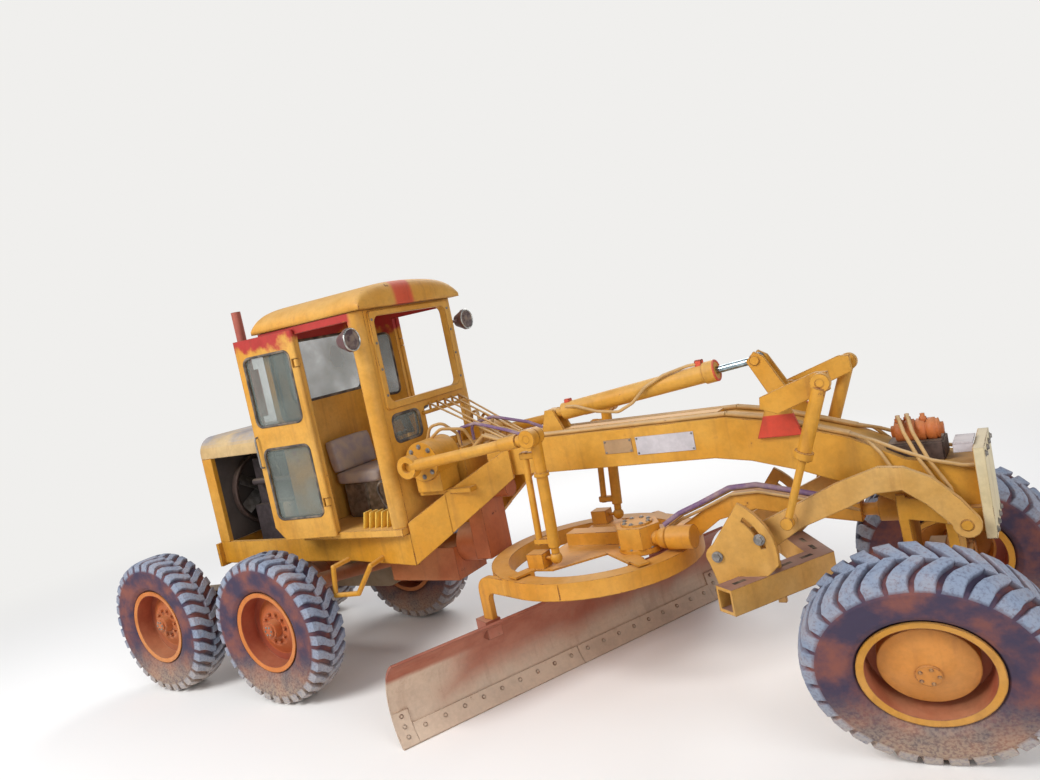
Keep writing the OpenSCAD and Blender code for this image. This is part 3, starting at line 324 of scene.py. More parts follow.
def paint_material(name, paint, faded, chips, dust, fade=0.5, gloss=0.5, edge=0.012, mask=None):
    """Worn paint. mask takes the tree and gives sockets for the paint and its faded colour where a coat has two."""
    tree, shader = new_material(name)[1:]
    coat = grouped(tree, "Worn Paint", {
        "Faded": faded, "Rust": hues().rust, "Dust Colour": hues().dust, "Chips": chips, "Dust": dust,
        "Fade": fade, "Gloss": gloss, "Edge Radius": edge, "Paint": paint})
    if mask:
        feed(tree, coat, dict(zip(("Paint", "Faded"), mask(tree))))
    feed(tree, shader, {"Base Color": coat.outputs["Colour"], "Roughness": coat.outputs["Roughness"],
                        "Normal": coat.outputs["Normal"], "Specular IOR Level": 0.35})


def band_along(tree, direction, low, high, scatter=0.3):
    """A mask that goes from 0 to 1 along a direction in the piece's own place, with a ragged border."""
    place = here(tree)
    run = vectors(tree, "DOT_PRODUCT", place, direction)["Value"]
    ragged = times(tree, maths(tree, "SUBTRACT", noise(tree, place, 3.5, 5.0), 0.5), scatter * 2)
    return ramp(tree, plus(tree, run, ragged), low, high)


def metal_material(name, tone, rough, metallic, dust):
    """Bare or oily metal with scratches and dust."""
    tree, shader = new_material(name)[1:]
    weather = grouped(tree, "Weather", {"Chips": 0.2, "Dust": dust, "Fade": 0.3, "Edge Radius": 0.006}).outputs
    darker = tuple(c * 0.55 for c in tone[:3]) + (1.0,)
    coat = blend_colours(tree, ramp(tree, noise(tree, here(tree), 24.0, 5.0), 0.35, 0.65), tone, darker)
    feed(tree, shader, {"Base Color": blend_colours(tree, weather["Dust"], coat, hues().dust), "Metallic": metallic,
                        "Roughness": ramp(tree, weather["Grain"], 0.3, 0.7, rough, rough + 0.25),
                        "Normal": weather["Normal"]})


def tyre_material():
    """Dusty rubber: tops of the lugs painted pale sky-blue as sunlit tread over scuffing, reddish brown patches on the
    walls that are dust mixed with painted sunlit wall colour, and soil in the grooves and on the walls.
    """
    tree, shader = new_material("Tyre rubber")[1:]
    place = here(tree)
    top = wire(tree, "ShaderNodeAttribute", attribute_name="lug_top").outputs["Fac"]
    patch = ramp(tree, noise(tree, place, 5.0, 5.0, 0.6), 0.35, 0.7)
    grit = noise(tree, place, 60.0, 4.0, 0.6)
    # Reddish brown patches on the walls: dust, and painted light in the colour of the sunlit wall.
    wall = blend_colours(tree, times(tree, patch, 0.72), hues().rubber, tint(146, 86, 66))
    # Painted highlight of sunlit tread on the tops of the lugs, with pale scuffs in patches.
    worn = blend_colours(tree, times(tree, patch, 0.35), hues().tread_sheen_and_scuff, tint(176, 166, 160))
    coat = blend_colours(tree, times(tree, top, ramp(tree, grit, 0.3, 0.55, 0.55, 1.0)), wall, worn)
    soil = times(tree, ramp(tree, height_of(tree, place), 0.5, 0.02), ramp(tree, grit, 0.35, 0.6, 0.25, 0.6))
    feed(tree, shader, {"Base Color": blend_colours(tree, soil, coat, hues().dust), "Roughness": 0.85,
                        "Specular IOR Level": 0.3, "Normal": bump(tree, 0.5, 0.002, grit)})


def glass_material():
    """A pane under a film of dust."""
    tree, shader = new_material("Dusty glass")[1:]
    film = ramp(tree, noise(tree, here(tree), 2.6, 4.0, 0.5), 0.3, 0.75, 0.30, 0.58)
    feed(tree, shader, {"Alpha": film, "Base Color": blend_colours(tree, film, tint(96, 104, 100), hues().glass),
                        "Roughness": ramp(tree, film, 0.2, 0.65, 0.1, 0.6)})


def vinyl_material():
    """Seat cover with a fine grain and dust in its folds."""
    tree, shader = new_material("Seat vinyl")[1:]
    place = here(tree)
    patch = ramp(tree, noise(tree, place, 9.0, 5.0), 0.35, 0.65)
    pores = wire(tree, "ShaderNodeTexVoronoi", {"Vector": place, "Scale": 320.0}).outputs["Distance"]
    feed(tree, shader, {"Base Color": blend_colours(tree, times(tree, patch, 0.6), hues().vinyl, hues().dust),
                        "Roughness": ramp(tree, patch, 0.0, 1.0, 0.5, 0.75),
                        "Normal": bump(tree, 0.4, 0.001, pores)})


def rubber_material(name, tone, rough):
    """Plain rubber of hoses and gaskets with dust on it."""
    tree, shader = new_material(name)[1:]
    film = ramp(tree, noise(tree, here(tree), 11.0, 5.0), 0.4, 0.75, 0.05, 0.5)
    feed(tree, shader, {"Base Color": blend_colours(tree, film, tone, hues().dust),
                        "Roughness": ramp(tree, film, 0.0, 0.5, rough, 0.95)})


# Where each finish of the frame goes
FRAME_FINISHES = {
    "Main beam": ("main_beam",),
    "Bolster": ("front_bolster",),
    "Beam yellow": ("rear_frame", "valve_bank", "bellcrank", "scarifier_links", "lift_arm_right", "lift_arm_left",
                    "lift_link_right", "lift_link_left", "scarifier_barrel"),
    "Cab yellow": ("cab_floor", "cab_front", "cab_sides", "cab_rear", "door_right", "door_left"),
    "Roof yellow": ("cab_roof",),
    "Hood": ("hood",),
    "Radiator": ("radiator",),
    "Drawbar orange": ("drawbar", "circle"),
    "Scarifier buff": ("scarifier",),
    "Axle yellow": ("front_axle", "lean_yoke_right", "lean_yoke_left", "lean_bar", "knuckle_right", "knuckle_left",
                    "tie_rod"),
    "Tandem": ("tandem_right", "tandem_left"),
    "Drive line": ("drivetrain",),
    "Lines": ("hydraulic_lines",),
    "Moldboard": ("moldboard",),
    "Stack": ("exhaust",),
    "Engine iron": ("engine",),
    "Worn steel": ("fan",),
    "Controls": ("controls",),
    "Rod chrome": ("scarifier_rod",),
    "Lamp shell": ("work_lamps",),
    "Dusty glass": ("cab_glass", "door_glass_right", "door_glass_left"),
}


# The borders of the coats, in metres: across, up, or ahead of the tandem pivot
EAR_PLATE_ACROSS, EAR_PLATE_UP, EAR_PLATE_AHEAD = (0.1705, 0.1715), (1.60, 1.785), (4.60, 5.10)
END_PLATE_AHEAD = (5.846, 5.850)
KNOBS_UP = (1.938, 1.942)
PRIMER_UP, PRIMER_AHEAD = (2.82, 2.88), (2.0, 1.96)
VISOR_ACROSS, VISOR_AHEAD = (-0.20, 0.02), (1.98, 2.08)
# Below this height the scarifier's up-facing faces take a painted shade of brown-purple.
SHADED_BLOCK_TOP_UP = (0.88, 0.865)
CORE_ACROSS = (0.412, 0.408)
# From a wheel's axle. Past the first radius the rim's recess is painted darker as shade, up to the lip.
SHADED_WELL_RADIUS, LIP_RADIUS = (0.236, 0.242), (0.293, 0.296)
# Along the moldboard from its right end to its left
ALONG_BLADE, UPWARD = (0.44, 0.90, 0.0), (0.0, 0.0, 1.0)


def two_coats(tree, share, under, over):
    """The paint and its faded colour where one coat goes over into another. Each is (paint, faded colour)."""
    return [blend_colours(tree, share, a, b) for a, b in zip(under, over)]


def machine_yellow():
    """Paint and faded paint of the beam and the frame."""
    return hues().yellow, hues().yellow_faded


def cab_yellow():
    """Paint and faded paint of the cab."""
    return hues().cab, hues().cab_faded


def facing_up(tree):
    """How far a surface faces the sky."""
    return height_of(tree, wire(tree, "ShaderNodeNewGeometry").outputs["Normal"])


def hood_coat(tree):
    """Buff paint that is worn to bare grey on top."""
    worn = times(tree, ramp(tree, facing_up(tree), 0.3, 0.8), ramp(tree, noise(tree, here(tree), 3.0, 5.0), 0.3, 0.55))
    return two_coats(tree, worn, (tint(190, 158, 108), tint(206, 180, 132)), (hues().hood_grey, tint(158, 158, 162)))


def place_axes(tree):
    """The three distances of a point: ahead of the tandem pivot, across and up."""
    axes = wire(tree, "ShaderNodeSeparateXYZ", {0: here(tree)}).outputs
    return maths(tree, "SUBTRACT", axes["X"], TANDEM_X), axes["Y"], axes["Z"]


def within(tree, value, low, high, border=0.004):
    """A mask that is 1 between two limits."""
    return times(tree, ramp(tree, value, low - border, low + border), ramp(tree, value, high + border, high - border))


def beam_coat(tree):
    """Machine yellow, with the red plates under the ears of the bellcrank."""
    ahead, across, up = place_axes(tree)
    red = times(tree, ramp(tree, unsigned(tree, across), *EAR_PLATE_ACROSS), within(tree, up, *EAR_PLATE_UP),
                within(tree, ahead, *EAR_PLATE_AHEAD))
    return two_coats(tree, red, machine_yellow(), (hues().red_paint, hues().red_paint))


def bolster_coat(tree):
    """Machine yellow with a pale dusty end plate."""
    plate = ramp(tree, place_axes(tree)[0], *END_PLATE_AHEAD)
    return two_coats(tree, plate, machine_yellow(), (tint(206, 188, 146), tint(214, 202, 172)))


def controls_coat(tree):
    """Yellow levers and column under dark knobs and a dark wheel."""
    dark = ramp(tree, place_axes(tree)[2], *KNOBS_UP)
    return two_coats(tree, dark, (hues().yellow_faded, tint(214, 186, 120)), (tint(52, 48, 52), tint(70, 66, 70)))


def cab_coat(tree):
    """Cab yellow with primer along the roof's lower edge and over the doors."""
    place = here(tree)
    ragged = times(tree, maths(tree, "SUBTRACT", noise(tree, place, 4.0, 5.0), 0.5), 0.45)
    ahead, _, up = place_axes(tree)
    bare = times(tree, ramp(tree, plus(tree, up, ragged), *PRIMER_UP), ramp(tree, ahead, *PRIMER_AHEAD))
    patch = times(tree, ramp(tree, noise(tree, place, 2.2, 4.0), 0.69, 0.73), 0.6)
    return two_coats(tree, maths(tree, "MAXIMUM", bare, patch), cab_yellow(), (hues().primer, hues().primer))


def roof_coat(tree):
    """Cab yellow with a patch of red on the visor."""
    ahead, across, _ = place_axes(tree)
    patch = times(tree, within(tree, across, *VISOR_ACROSS, 0.03), ramp(tree, ahead, *VISOR_AHEAD), 0.9)
    return two_coats(tree, patch, cab_yellow(), (hues().red_paint, hues().red_paint))


def scarifier_coat_and_shade(tree):
    """Buff arms and plates over a block whose top is painted brown-purple as the shade that falls on it."""
    top = times(tree, ramp(tree, facing_up(tree), 0.6, 0.8), ramp(tree, place_axes(tree)[2], *SHADED_BLOCK_TOP_UP))
    # Painted shade on the block's top.
    return two_coats(tree, top, (hues().buff, tint(212, 172, 108)), (tint(126, 84, 80), tint(150, 108, 96)))


def blade_coat(tree):
    """Board that is pale with dust below and toward its right end, and red-brown along its top and middle: rust, with
    painted shade of the curved face and the circle's shadow.
    """
    pale = maths(tree, "MAXIMUM", band_along(tree, ALONG_BLADE, -0.45, -0.95, 0.25),
                 band_along(tree, UPWARD, 0.36, 0.14, 0.12))
    pale = times(tree, pale, band_along(tree, UPWARD, 0.475, 0.425, 0.03))
    # Where the mask is low the coat is rust and painted shade.
    return two_coats(tree, pale, (hues().blade_rust_and_shade, tint(166, 96, 78)), (hues().blade_pale, tint(210, 190, 170)))


def radiator_coat(tree):
    """Yellow shell round a dark core."""
    core = ramp(tree, unsigned(tree, place_axes(tree)[1]), *CORE_ACROSS)
    return two_coats(tree, core, machine_yellow(), (tint(64, 58, 58), tint(92, 84, 80)))


def rim_coat(place, hub, lip):
    """A rim's lip and hub in their own colours, with the recess between them painted a darker red-brown as shade. place
    is the wheel's frame.
    """
    def coat(tree):
        far = grouped(tree, "Distance From Axle", {
            "Centre": place.translation, "Axle": place.to_3x3() @ Vector((0, 0, 1))}).outputs["Distance"]
        # Painted shade: the recess of the barrel inside the lip is a darker red-brown.
        shaded_well = blend_colours(tree, ramp(tree, far, *SHADED_WELL_RADIUS), hub, tint(150, 62, 40))
        paint = blend_colours(tree, ramp(tree, far, *LIP_RADIUS), shaded_well, lip)
        return paint, blend_colours(tree, 0.35, paint, tint(214, 168, 110))
    return coat


def make_finishes():
    """Builds every material, and puts the frame's own on its nodes."""
    for build in (weather_group, worn_paint_group, axle_distance_group):
        build()
    yellow, cab = machine_yellow(), cab_yellow()
    own = hues()
    for name, (paint, faded), chips, dust, more in (
        ("Beam yellow", yellow, 0.45, 0.22, {}),
        ("Main beam", yellow, 0.45, 0.22, {"mask": beam_coat}),
        ("Bolster", yellow, 0.5, 0.35, {"mask": bolster_coat}),
        ("Controls", (own.yellow_faded, tint(214, 186, 120)), 0.35, 0.3, {"edge": 0.003, "mask": controls_coat}),
        ("Red paint", (own.red_paint, tint(206, 92, 66)), 0.45, 0.25, {}),
        ("Cab yellow", cab, 0.45, 0.2, {"mask": cab_coat}),
        ("Roof yellow", cab, 0.6, 0.2, {"mask": roof_coat}),
        ("Hood", cab, 0.35, 0.3, {"mask": hood_coat}),
        ("Radiator", yellow, 0.3, 0.4, {"mask": radiator_coat}),
        ("Drawbar orange", (tint(200, 132, 28), tint(212, 158, 66)), 0.5, 0.25, {}),
        ("Scarifier buff", (own.buff, tint(212, 172, 108)), 0.4, 0.3, {"fade": 0.6, "mask": scarifier_coat_and_shade}),
        ("Axle yellow", (tint(188, 122, 48), tint(206, 156, 84)), 0.6, 0.6, {}),
        ("Tandem", (tint(150, 128, 96), tint(170, 158, 140)), 0.35, 0.75, {}),
        ("Drive line", (tint(178, 92, 46), tint(190, 124, 72)), 0.6, 0.45, {}),
        ("Lines", (tint(176, 130, 66), tint(196, 160, 104)), 0.4, 0.5, {"edge": 0.003}),
        ("Moldboard", (own.blade_rust_and_shade, own.blade_pale), 0.45, 0.3, {"mask": blade_coat}),
        ("Stack", (tint(160, 82, 70), tint(182, 108, 84)), 0.75, 0.2, {"gloss": 0.7}),
        ("Lamp shell", (tint(86, 58, 62), tint(116, 84, 82)), 0.3, 0.25, {}),
        ("Bare plate", (tint(184, 176, 178), tint(198, 192, 194)), 0.12, 0.2, {"edge": 0.002}),
        ("Brown plate", (tint(158, 122, 84), tint(172, 142, 106)), 0.2, 0.2, {"edge": 0.002}),
        ("Nose unit", (tint(176, 84, 30), tint(196, 116, 56)), 0.7, 0.2, {"edge": 0.006}),
        ("Pedal yellow", (tint(226, 178, 60), tint(232, 196, 96)), 0.35, 0.15, {"edge": 0.003}),
    ):
        paint_material(name, paint, faded, chips, dust, **more)
    for name, tone, rough, metallic, dust in (
        ("Engine iron", own.iron, 0.5, 0.3, 0.25), ("Worn steel", own.steel, 0.4, 0.7, 0.35),
        ("Rod chrome", tint(168, 184, 190), 0.12, 1.0, 0.05), ("Bright ring", tint(214, 214, 208), 0.18, 1.0, 0.1),
        ("Dark iron", tint(86, 66, 60), 0.6, 0.4, 0.3),
    ):
        metal_material(name, tone, rough, metallic, dust)
    tyre_material()
    glass_material()
    vinyl_material()
    # Painted slot shade: a near-black sheet that stands for the shade inside the scarifier's slots.
    for name, tone, rough in (("Black rubber", tint(44, 42, 46), 0.7), ("Purple hose", tint(104, 74, 116), 0.7),
                              ("Dark gap", tint(24, 22, 24), 0.9), ("Lamp glass", tint(58, 34, 44), 0.12)):
        rubber_material(name, tone, rough)
    for finish, nodes in FRAME_FINISHES.items():
        for node in nodes:
            wear_finish(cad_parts[node], finish)
    rims = [("front_rim_" + name, front_wheel_place(side), own.hub_orange, own.yellow) for side, name in SIDES]
    rims += [("rear_rim_" + label, upright_wheel_place(x, side), own.rim_red, tint(198, 112, 42))
             for label, x, side in REAR_WHEELS]
    for node, place, hub, lip in rims:
        paint_material(node, hub, lip, chips=0.45, dust=0.15, mask=rim_coat(place, hub, lip))
        wear_finish(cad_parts[node], node)


def wear_finish(piece, finish):
    """Gives a piece of the frame its only material."""
    piece.data.materials.clear()
    piece.data.materials.append(bpy.data.materials[finish])


# Mesh helpers


def show(name, data):
    """A new object at the origin with the given mesh."""
    made = bpy.data.objects.new(name, data)
    bpy.context.scene.collection.objects.link(made)
    return made


def piece_from(name, verts, faces, finish, smooth=False):
    """A new piece from points and faces, with its finish."""
    mesh = bpy.data.meshes.new(name)
    mesh.from_pydata([tuple(v) for v in verts], [], faces)
    mesh.materials.append(bpy.data.materials[finish])
    mesh.polygons.foreach_set("use_smooth", [smooth] * len(mesh.polygons))
    return show(name, mesh)


def smooth_piece(name, mesh, finish):
    """A new smooth piece from a bmesh, which is freed."""
    data = bpy.data.meshes.new(name)
    mesh.to_mesh(data)
    mesh.free()
    data.materials.append(bpy.data.materials[finish])
    data.polygons.foreach_set("use_smooth", [True] * len(data.polygons))
    return show(name, data)


def reshape(made, change):
    """Changes a piece's mesh for good, by a function that takes its bmesh."""
    mesh = bmesh.new()
    mesh.from_mesh(made.data)
    change(mesh)
    mesh.to_mesh(made.data)
    mesh.free()


def outward(made):
    """Turns every closed shell of a piece the right way out."""
    reshape(made, lambda mesh: bmesh.ops.recalc_face_normals(mesh, faces=mesh.faces))


def soften(made, width, segments=2):
    """Rounds the edges of a piece for good."""
    def bevel(mesh):
        sharp = [edge for edge in mesh.edges if len(edge.link_faces) == 2 and edge.calc_face_angle() > 0.6]
        bmesh.ops.bevel(mesh, geom=sharp, offset=width, segments=segments, affect="EDGES", clamp_overlap=True)

    reshape(made, bevel)


def turned_at(point, angle, axis):
    """A place that is turned about one of its own axes."""
    return Matrix.Translation(point) @ Matrix.Rotation(angle, 4, axis)


def settle(made, body):
    """Seats a finished piece on its body."""
    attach(made, body)
    return made


def joined(name, pieces):
    """One object from several, at the origin."""
    mesh = bmesh.new()
    finishes = []
    for piece in pieces:
        first = len(mesh.faces)
        part = piece.data.copy()
        part.transform(piece.matrix_world)
        mesh.from_mesh(part)
        mesh.faces.ensure_lookup_table()
        names = [m.name for m in piece.data.materials]
        for face in mesh.faces[first:]:
            finish = names[min(face.material_index, len(names) - 1)]
            if finish not in finishes:
                finishes.append(finish)
            face.material_index = finishes.index(finish)
        bpy.data.meshes.remove(part)
    data = bpy.data.meshes.new(name)
    mesh.to_mesh(data)
    mesh.free()
    for finish in finishes:
        data.materials.append(bpy.data.materials[finish])
    for piece in pieces:
        bpy.data.objects.remove(piece)
    return show(name, data)


def grow(made, tree, **values):
    """Runs a geometry tree on an object and gives back the plain mesh it makes."""
    step = made.modifiers.new("Grow", "NODES")
    step.node_group = tree
    for item in tree.interface.items_tree:
        if item.item_type == "SOCKET" and item.in_out == "INPUT" and item.name in values:
            step[item.identifier] = values[item.name]
    graph = bpy.context.evaluated_depsgraph_get()
    mesh = bpy.data.meshes.new_from_object(made.evaluated_get(graph), depsgraph=graph)
    made.modifiers.remove(step)
    old = made.data
    made.data = mesh
    mesh.name = made.name
    bpy.data.meshes.remove(old)
    return made


def geometry_tree(name, inputs):
    """An empty geometry tree with its named sockets, and its two end nodes."""
    tree = bpy.data.node_groups.new(name, "GeometryNodeTree")
    socket(tree, "Geometry", "INPUT", "NodeSocketGeometry")
    for label, kind, default in (*inputs, ("Material", "NodeSocketMaterial", None)):
        socket(tree, label, "INPUT", kind, default)
    socket(tree, "Geometry", "OUTPUT", "NodeSocketGeometry")
    return tree, tree.nodes.new("NodeGroupInput").outputs, tree.nodes.new("NodeGroupOutput").inputs


def spread_on(tree, points, shape, turn):
    return wire(tree, "GeometryNodeInstanceOnPoints", {"Points": points, "Instance": shape,
                                                       "Rotation": turn}).outputs[0]


def finish_tree(tree, shape, finish, result):
    """Joins up a tree's shape, with its material."""
    whole = wire(tree, "GeometryNodeRealizeInstances", {"Geometry": shape}).outputs[0]
    painted = wire(tree, "GeometryNodeSetMaterial", {"Geometry": whole, "Material": finish}).outputs[0]
    tree.links.new(painted, result["Geometry"])


def ring_tree():
    """Repeats the given mesh round the Z axis."""
    tree, given, result = geometry_tree("Repeat Round Axle", (("Count", "NodeSocketInt", 24),))
    points = wire(tree, "GeometryNodePoints", {"Count": given["Count"]}).outputs[0]
    index = wire(tree, "GeometryNodeInputIndex").outputs[0]
    step = maths(tree, "DIVIDE", 2 * math.pi, given["Count"])
    turn = wire(tree, "ShaderNodeCombineXYZ", {"Z": times(tree, index, step)}).outputs[0]
    finish_tree(tree, spread_on(tree, points, given["Geometry"], turn), given["Material"], result)


def bolt_tree():
    """A hexagon head on a washer at each point, standing along the point's facing attribute."""
    tree, given, result = geometry_tree("Bolt Heads", (("Radius", FLOAT, 0.014), ("Height", FLOAT, 0.010)))
    radius, height = given["Radius"], given["Height"]
    head = wire(tree, "GeometryNodeMeshCone", {"Vertices": 6, "Radius Top": times(tree, radius, 0.9),
                                               "Radius Bottom": radius, "Depth": height})
    washer = wire(tree, "GeometryNodeMeshCylinder", {"Vertices": 14, "Depth": times(tree, height, 0.5),
                                                     "Radius": times(tree, radius, 1.35)})
    both = wire(tree, "GeometryNodeJoinGeometry")
    for part in (washer, head):
        tree.links.new(part.outputs["Mesh"], both.inputs[0])
    facing = wire(tree, "GeometryNodeInputNamedAttribute", {"Name": "facing"}, data_type="FLOAT_VECTOR")
    turn = wire(tree, "FunctionNodeAlignRotationToVector", {"Vector": facing.outputs["Attribute"]}, axis="Z")
    spread = spread_on(tree, given["Geometry"], both.outputs[0], turn.outputs[0])
    finish_tree(tree, spread, given["Material"], result)


def pipe_tree():
    """A round pipe or cord of rubber along the edges of the given mesh, with rounded bends."""
    tree, given, result = geometry_tree("Pipe Run", (
        ("Radius", FLOAT, 0.013), ("Bend", FLOAT, 0.06), ("Sides", "NodeSocketInt", 12)))
    path = wire(tree, "GeometryNodeMeshToCurve", {"Mesh": given["Geometry"]}).outputs[0]
    bent = wire(tree, "GeometryNodeFilletCurve", {"Curve": path, "Radius": given["Bend"], "Count": 8,
                                                  "Limit Radius": True}, mode="POLY").outputs[0]
    section = wire(tree, "GeometryNodeCurvePrimitiveCircle", {"Resolution": given["Sides"],
                                                              "Radius": given["Radius"]}).outputs["Curve"]
    tube = wire(tree, "GeometryNodeCurveToMesh", {"Curve": bent, "Profile Curve": section,
                                                  "Fill Caps": True}).outputs[0]
    round_off = wire(tree, "GeometryNodeSetShadeSmooth", {"Geometry": tube, "Shade Smooth": True}).outputs[0]
    finish_tree(tree, round_off, given["Material"], result)


def bolts(name, body, spots, radius=None, height=None, finish="Worn steel"):
    """Bolt heads on one body. spots are (point, direction that the head faces)."""
    radius = radius or sizes().bolt_radius
    height = height or radius * 0.75
    made = piece_from(name, [Vector(at) + Vector(to).normalized() * height * 0.3 for at, to in spots], [], finish)
    facing = made.data.attributes.new("facing", "FLOAT_VECTOR", "POINT")
    for i, (_, to) in enumerate(spots):
        facing.data[i].vector = Vector(to).normalized()
    grow(made, bpy.data.node_groups["Bolt Heads"], Radius=radius, Height=height, Material=bpy.data.materials[finish])
    return settle(made, body)


def pipes(name, body, runs, radius, finish, bend=0.06, closed=False, sides=12):
    """Pipes on one body, one for each list of points."""
    verts, edges = [], []
    for run in runs:
        first = len(verts)
        verts += [Vector(p) for p in run]
        edges += [(first + i, first + i + 1) for i in range(len(run) - 1)]
        if closed:
            edges.append((len(verts) - 1, first))
    mesh = bpy.data.meshes.new(name)
    mesh.from_pydata(verts, edges, [])
    mesh.materials.append(bpy.data.materials[finish])
    made = show(name, mesh)
    grow(made, bpy.data.node_groups["Pipe Run"], Radius=radius, Bend=bend, Sides=sides,
         Material=bpy.data.materials[finish])
    return settle(made, body)


def route(points, side=1):
    """Points along a run, given ahead of the tandem pivot, out to one side, and up."""
    return [along(x, side * y, z) for x, y, z in points]


# Wheels


def upright_wheel_place(x, side):
    """Where a driven wheel's own frame stands, with its Z axis outboard."""
    return turned_at(along(x, side * sizes().half_track, TYRE_RADIUS), -side * math.pi / 2, "X")


def front_wheel_place(side):
    """Where a steered wheel's own frame stands, leaned about its pin and then steered."""
    own = sizes()
    across = own.half_track - own.lean_pin_drop * math.sin(own.lean)
    tilt = math.asin(math.sin(own.lean) * math.cos(own.steer))
    reach = max(r * math.cos(tilt) + w * math.sin(tilt) for w, r in CROWN[1:4])
    pin = reach - own.lean_pin_drop * math.cos(own.lean)
    return (turned_at(along(WHEELBASE, side * across, pin), own.lean, "X") @ Matrix.Rotation(own.steer, 4, "Z")
            @ turned_at((0, 0, own.lean_pin_drop), -side * math.pi / 2, "X"))


# Each driven wheel's label, place along the frame and side
REAR_WHEELS = (("rr", -0.738, -1), ("rf", 0.738, -1), ("lr", -0.738, 1), ("lf", 0.738, 1))

# Half of a carcass's section, (radius, distance from the middle), from the bead to the crown
CARCASS = ((0.3055, 0.112), (0.335, 0.114), (0.342, 0.130), (0.352, 0.143), (0.372, 0.1535), (0.380, 0.1575),
           (0.388, 0.1565), (0.420, 0.1610), (0.470, 0.1630), (0.505, 0.1610), (0.512, 0.1625), (0.520, 0.1600),
           (0.548, 0.1500), (0.570, 0.1300), (0.578, 0.1000), (0.582, 0.0))
# The tops of the lugs and the floor between them, (distance from the middle, radius)
CROWN = ((0.0, TYRE_RADIUS), (0.058, TYRE_RADIUS), (0.108, 0.606), (0.148, 0.590), (0.158, 0.545))
FLOOR = ((0.0, 0.574), (0.100, 0.570), (0.130, 0.560), (0.150, 0.535), (0.158, 0.520))
# The inside of a carcass
INSIDE = [(0.306, -0.09), (0.40, -0.137), (0.50, -0.130), (0.548, 0.0), (0.50, 0.130), (0.40, 0.137), (0.306, 0.09)]
# Where a lug's run round the tyre is measured
RUN_RADIUS = 0.6


def on_line(points, at):
    """The height of a broken line at a place along it."""
    for (a, low), (b, high) in zip(points, points[1:]):
        if at <= b:
            return low + (high - low) * (at - a) / (b - a)
    return points[-1][1]


def lathe(name, section, finish, steps=96):
    """A closed ring from a section of (radius, height) points."""
    verts, faces = [], []
    count = len(section)
    for i in range(steps):
        turn = 2 * math.pi * i / steps
        verts += [(r * math.cos(turn), r * math.sin(turn), z) for r, z in section]
    for i in range(steps):
        for j in range(count):
            a, b = i * count + j, i * count + (j + 1) % count
            c, d = ((i + 1) % steps) * count + (j + 1) % count, ((i + 1) % steps) * count + j
            faces.append((a, d, c, b))
    return piece_from(name, verts, faces, finish, smooth=True)


def lug_pair(bar, turn_to_next):
    """A lug on each side of the tyre. bar is (distance from the middle, run round the tyre, half width)."""
    verts, faces, tops = [], [], []
    corners, flare, nick, chamfer, drop = 6, 0.009, 0.001, 0.005, 0.004
    for side, start in ((1, 0.0), (-1, turn_to_next / 2)):
        first = len(verts)
        for across, run, half in bar:
            over, under = on_line(CROWN, max(across, 0.0)), on_line(FLOOR, max(across, 0.0))
            # Each corner's last value marks the lug's top, where the tyre paints the highlight of sunlit tread.
            for radius, width, top in ((under, half + flare, 0.0), (over - drop, half + nick, 0.8),
                                       (over, half - chamfer, 1.0), (over, -half + chamfer, 1.0),
                                       (over - drop, -half - nick, 0.8), (under, -half - flare, 0.0)):
                angle = start + (run + width) / RUN_RADIUS
                verts.append((radius * math.cos(angle), radius * math.sin(angle), side * across))
                tops.append(top)
        last = first + (len(bar) - 1) * corners
        quads = [(i + j, i + (j + 1) % corners, i + corners + (j + 1) % corners, i + corners + j)
                 for i in range(first, last, corners) for j in range(corners)]
        quads += [tuple(range(first, first + corners))[::-1], tuple(range(last, last + corners))]
        faces += quads if side > 0 else [face[::-1] for face in quads]
    return verts, faces, tops


# The bars of a driven and of a steered tyre
REAR_BAR = ((-0.008, 0.000, 0.024), (0.035, 0.012, 0.030), (0.075, 0.046, 0.031), (0.110, 0.068, 0.033),
            (0.148, 0.076, 0.037), (0.158, 0.078, 0.038))
FRONT_BAR = ((-0.010, 0.000, 0.030), (0.030, 0.030, 0.037), (0.075, 0.070, 0.040), (0.115, 0.096, 0.042),
             (0.148, 0.108, 0.044), (0.158, 0.110, 0.045))


def tyre_mesh(name, bar, count):
    """A carcass with its lugs, about its own axle."""
    section = list(CARCASS) + [(r, -w) for r, w in reversed(CARCASS[:-1])]
    carcass = lathe(name + "_carcass", section + INSIDE, "Tyre rubber")
    carcass.data.attributes.new("lug_top", "FLOAT", "POINT")
    verts, faces, tops = lug_pair(bar, 2 * math.pi / count)
    lugs = piece_from(name + "_lugs", verts, faces, "Tyre rubber")
    lugs.data.attributes.new("lug_top", "FLOAT", "POINT").data.foreach_set("value", tops)
    grow(lugs, bpy.data.node_groups["Repeat Round Axle"], Count=count, Material=bpy.data.materials["Tyre rubber"])
    whole = joined(name, [carcass, lugs])
    outward(whole)
    return whole


def make_tyres():
    """Six lugged tyres from two patterns."""
    rear = tyre_mesh("rear_pattern", REAR_BAR, sizes().rear_lugs)
    front = tyre_mesh("front_pattern", FRONT_BAR, sizes().front_lugs)
    places = [("rear_tyre_" + label, "rear_wheel_" + label, rear, upright_wheel_place(x, side))
              for label, x, side in REAR_WHEELS]
    places += [("front_tyre_" + name, "front_wheel_" + name, front, front_wheel_place(side)) for side, name in SIDES]
    for node, body, pattern, place in places:
        made = show(node + "_lugged", pattern.data.copy())
        made.data.transform(place)
        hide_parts(node)
        settle(made, body)
    for pattern in (rear, front):
        bpy.data.objects.remove(pattern)


# Cab

SIDE_Y = 0.610
HINGE_X, HINGE_Y = 1.372, 0.635
DOOR_OPEN = math.radians(6)
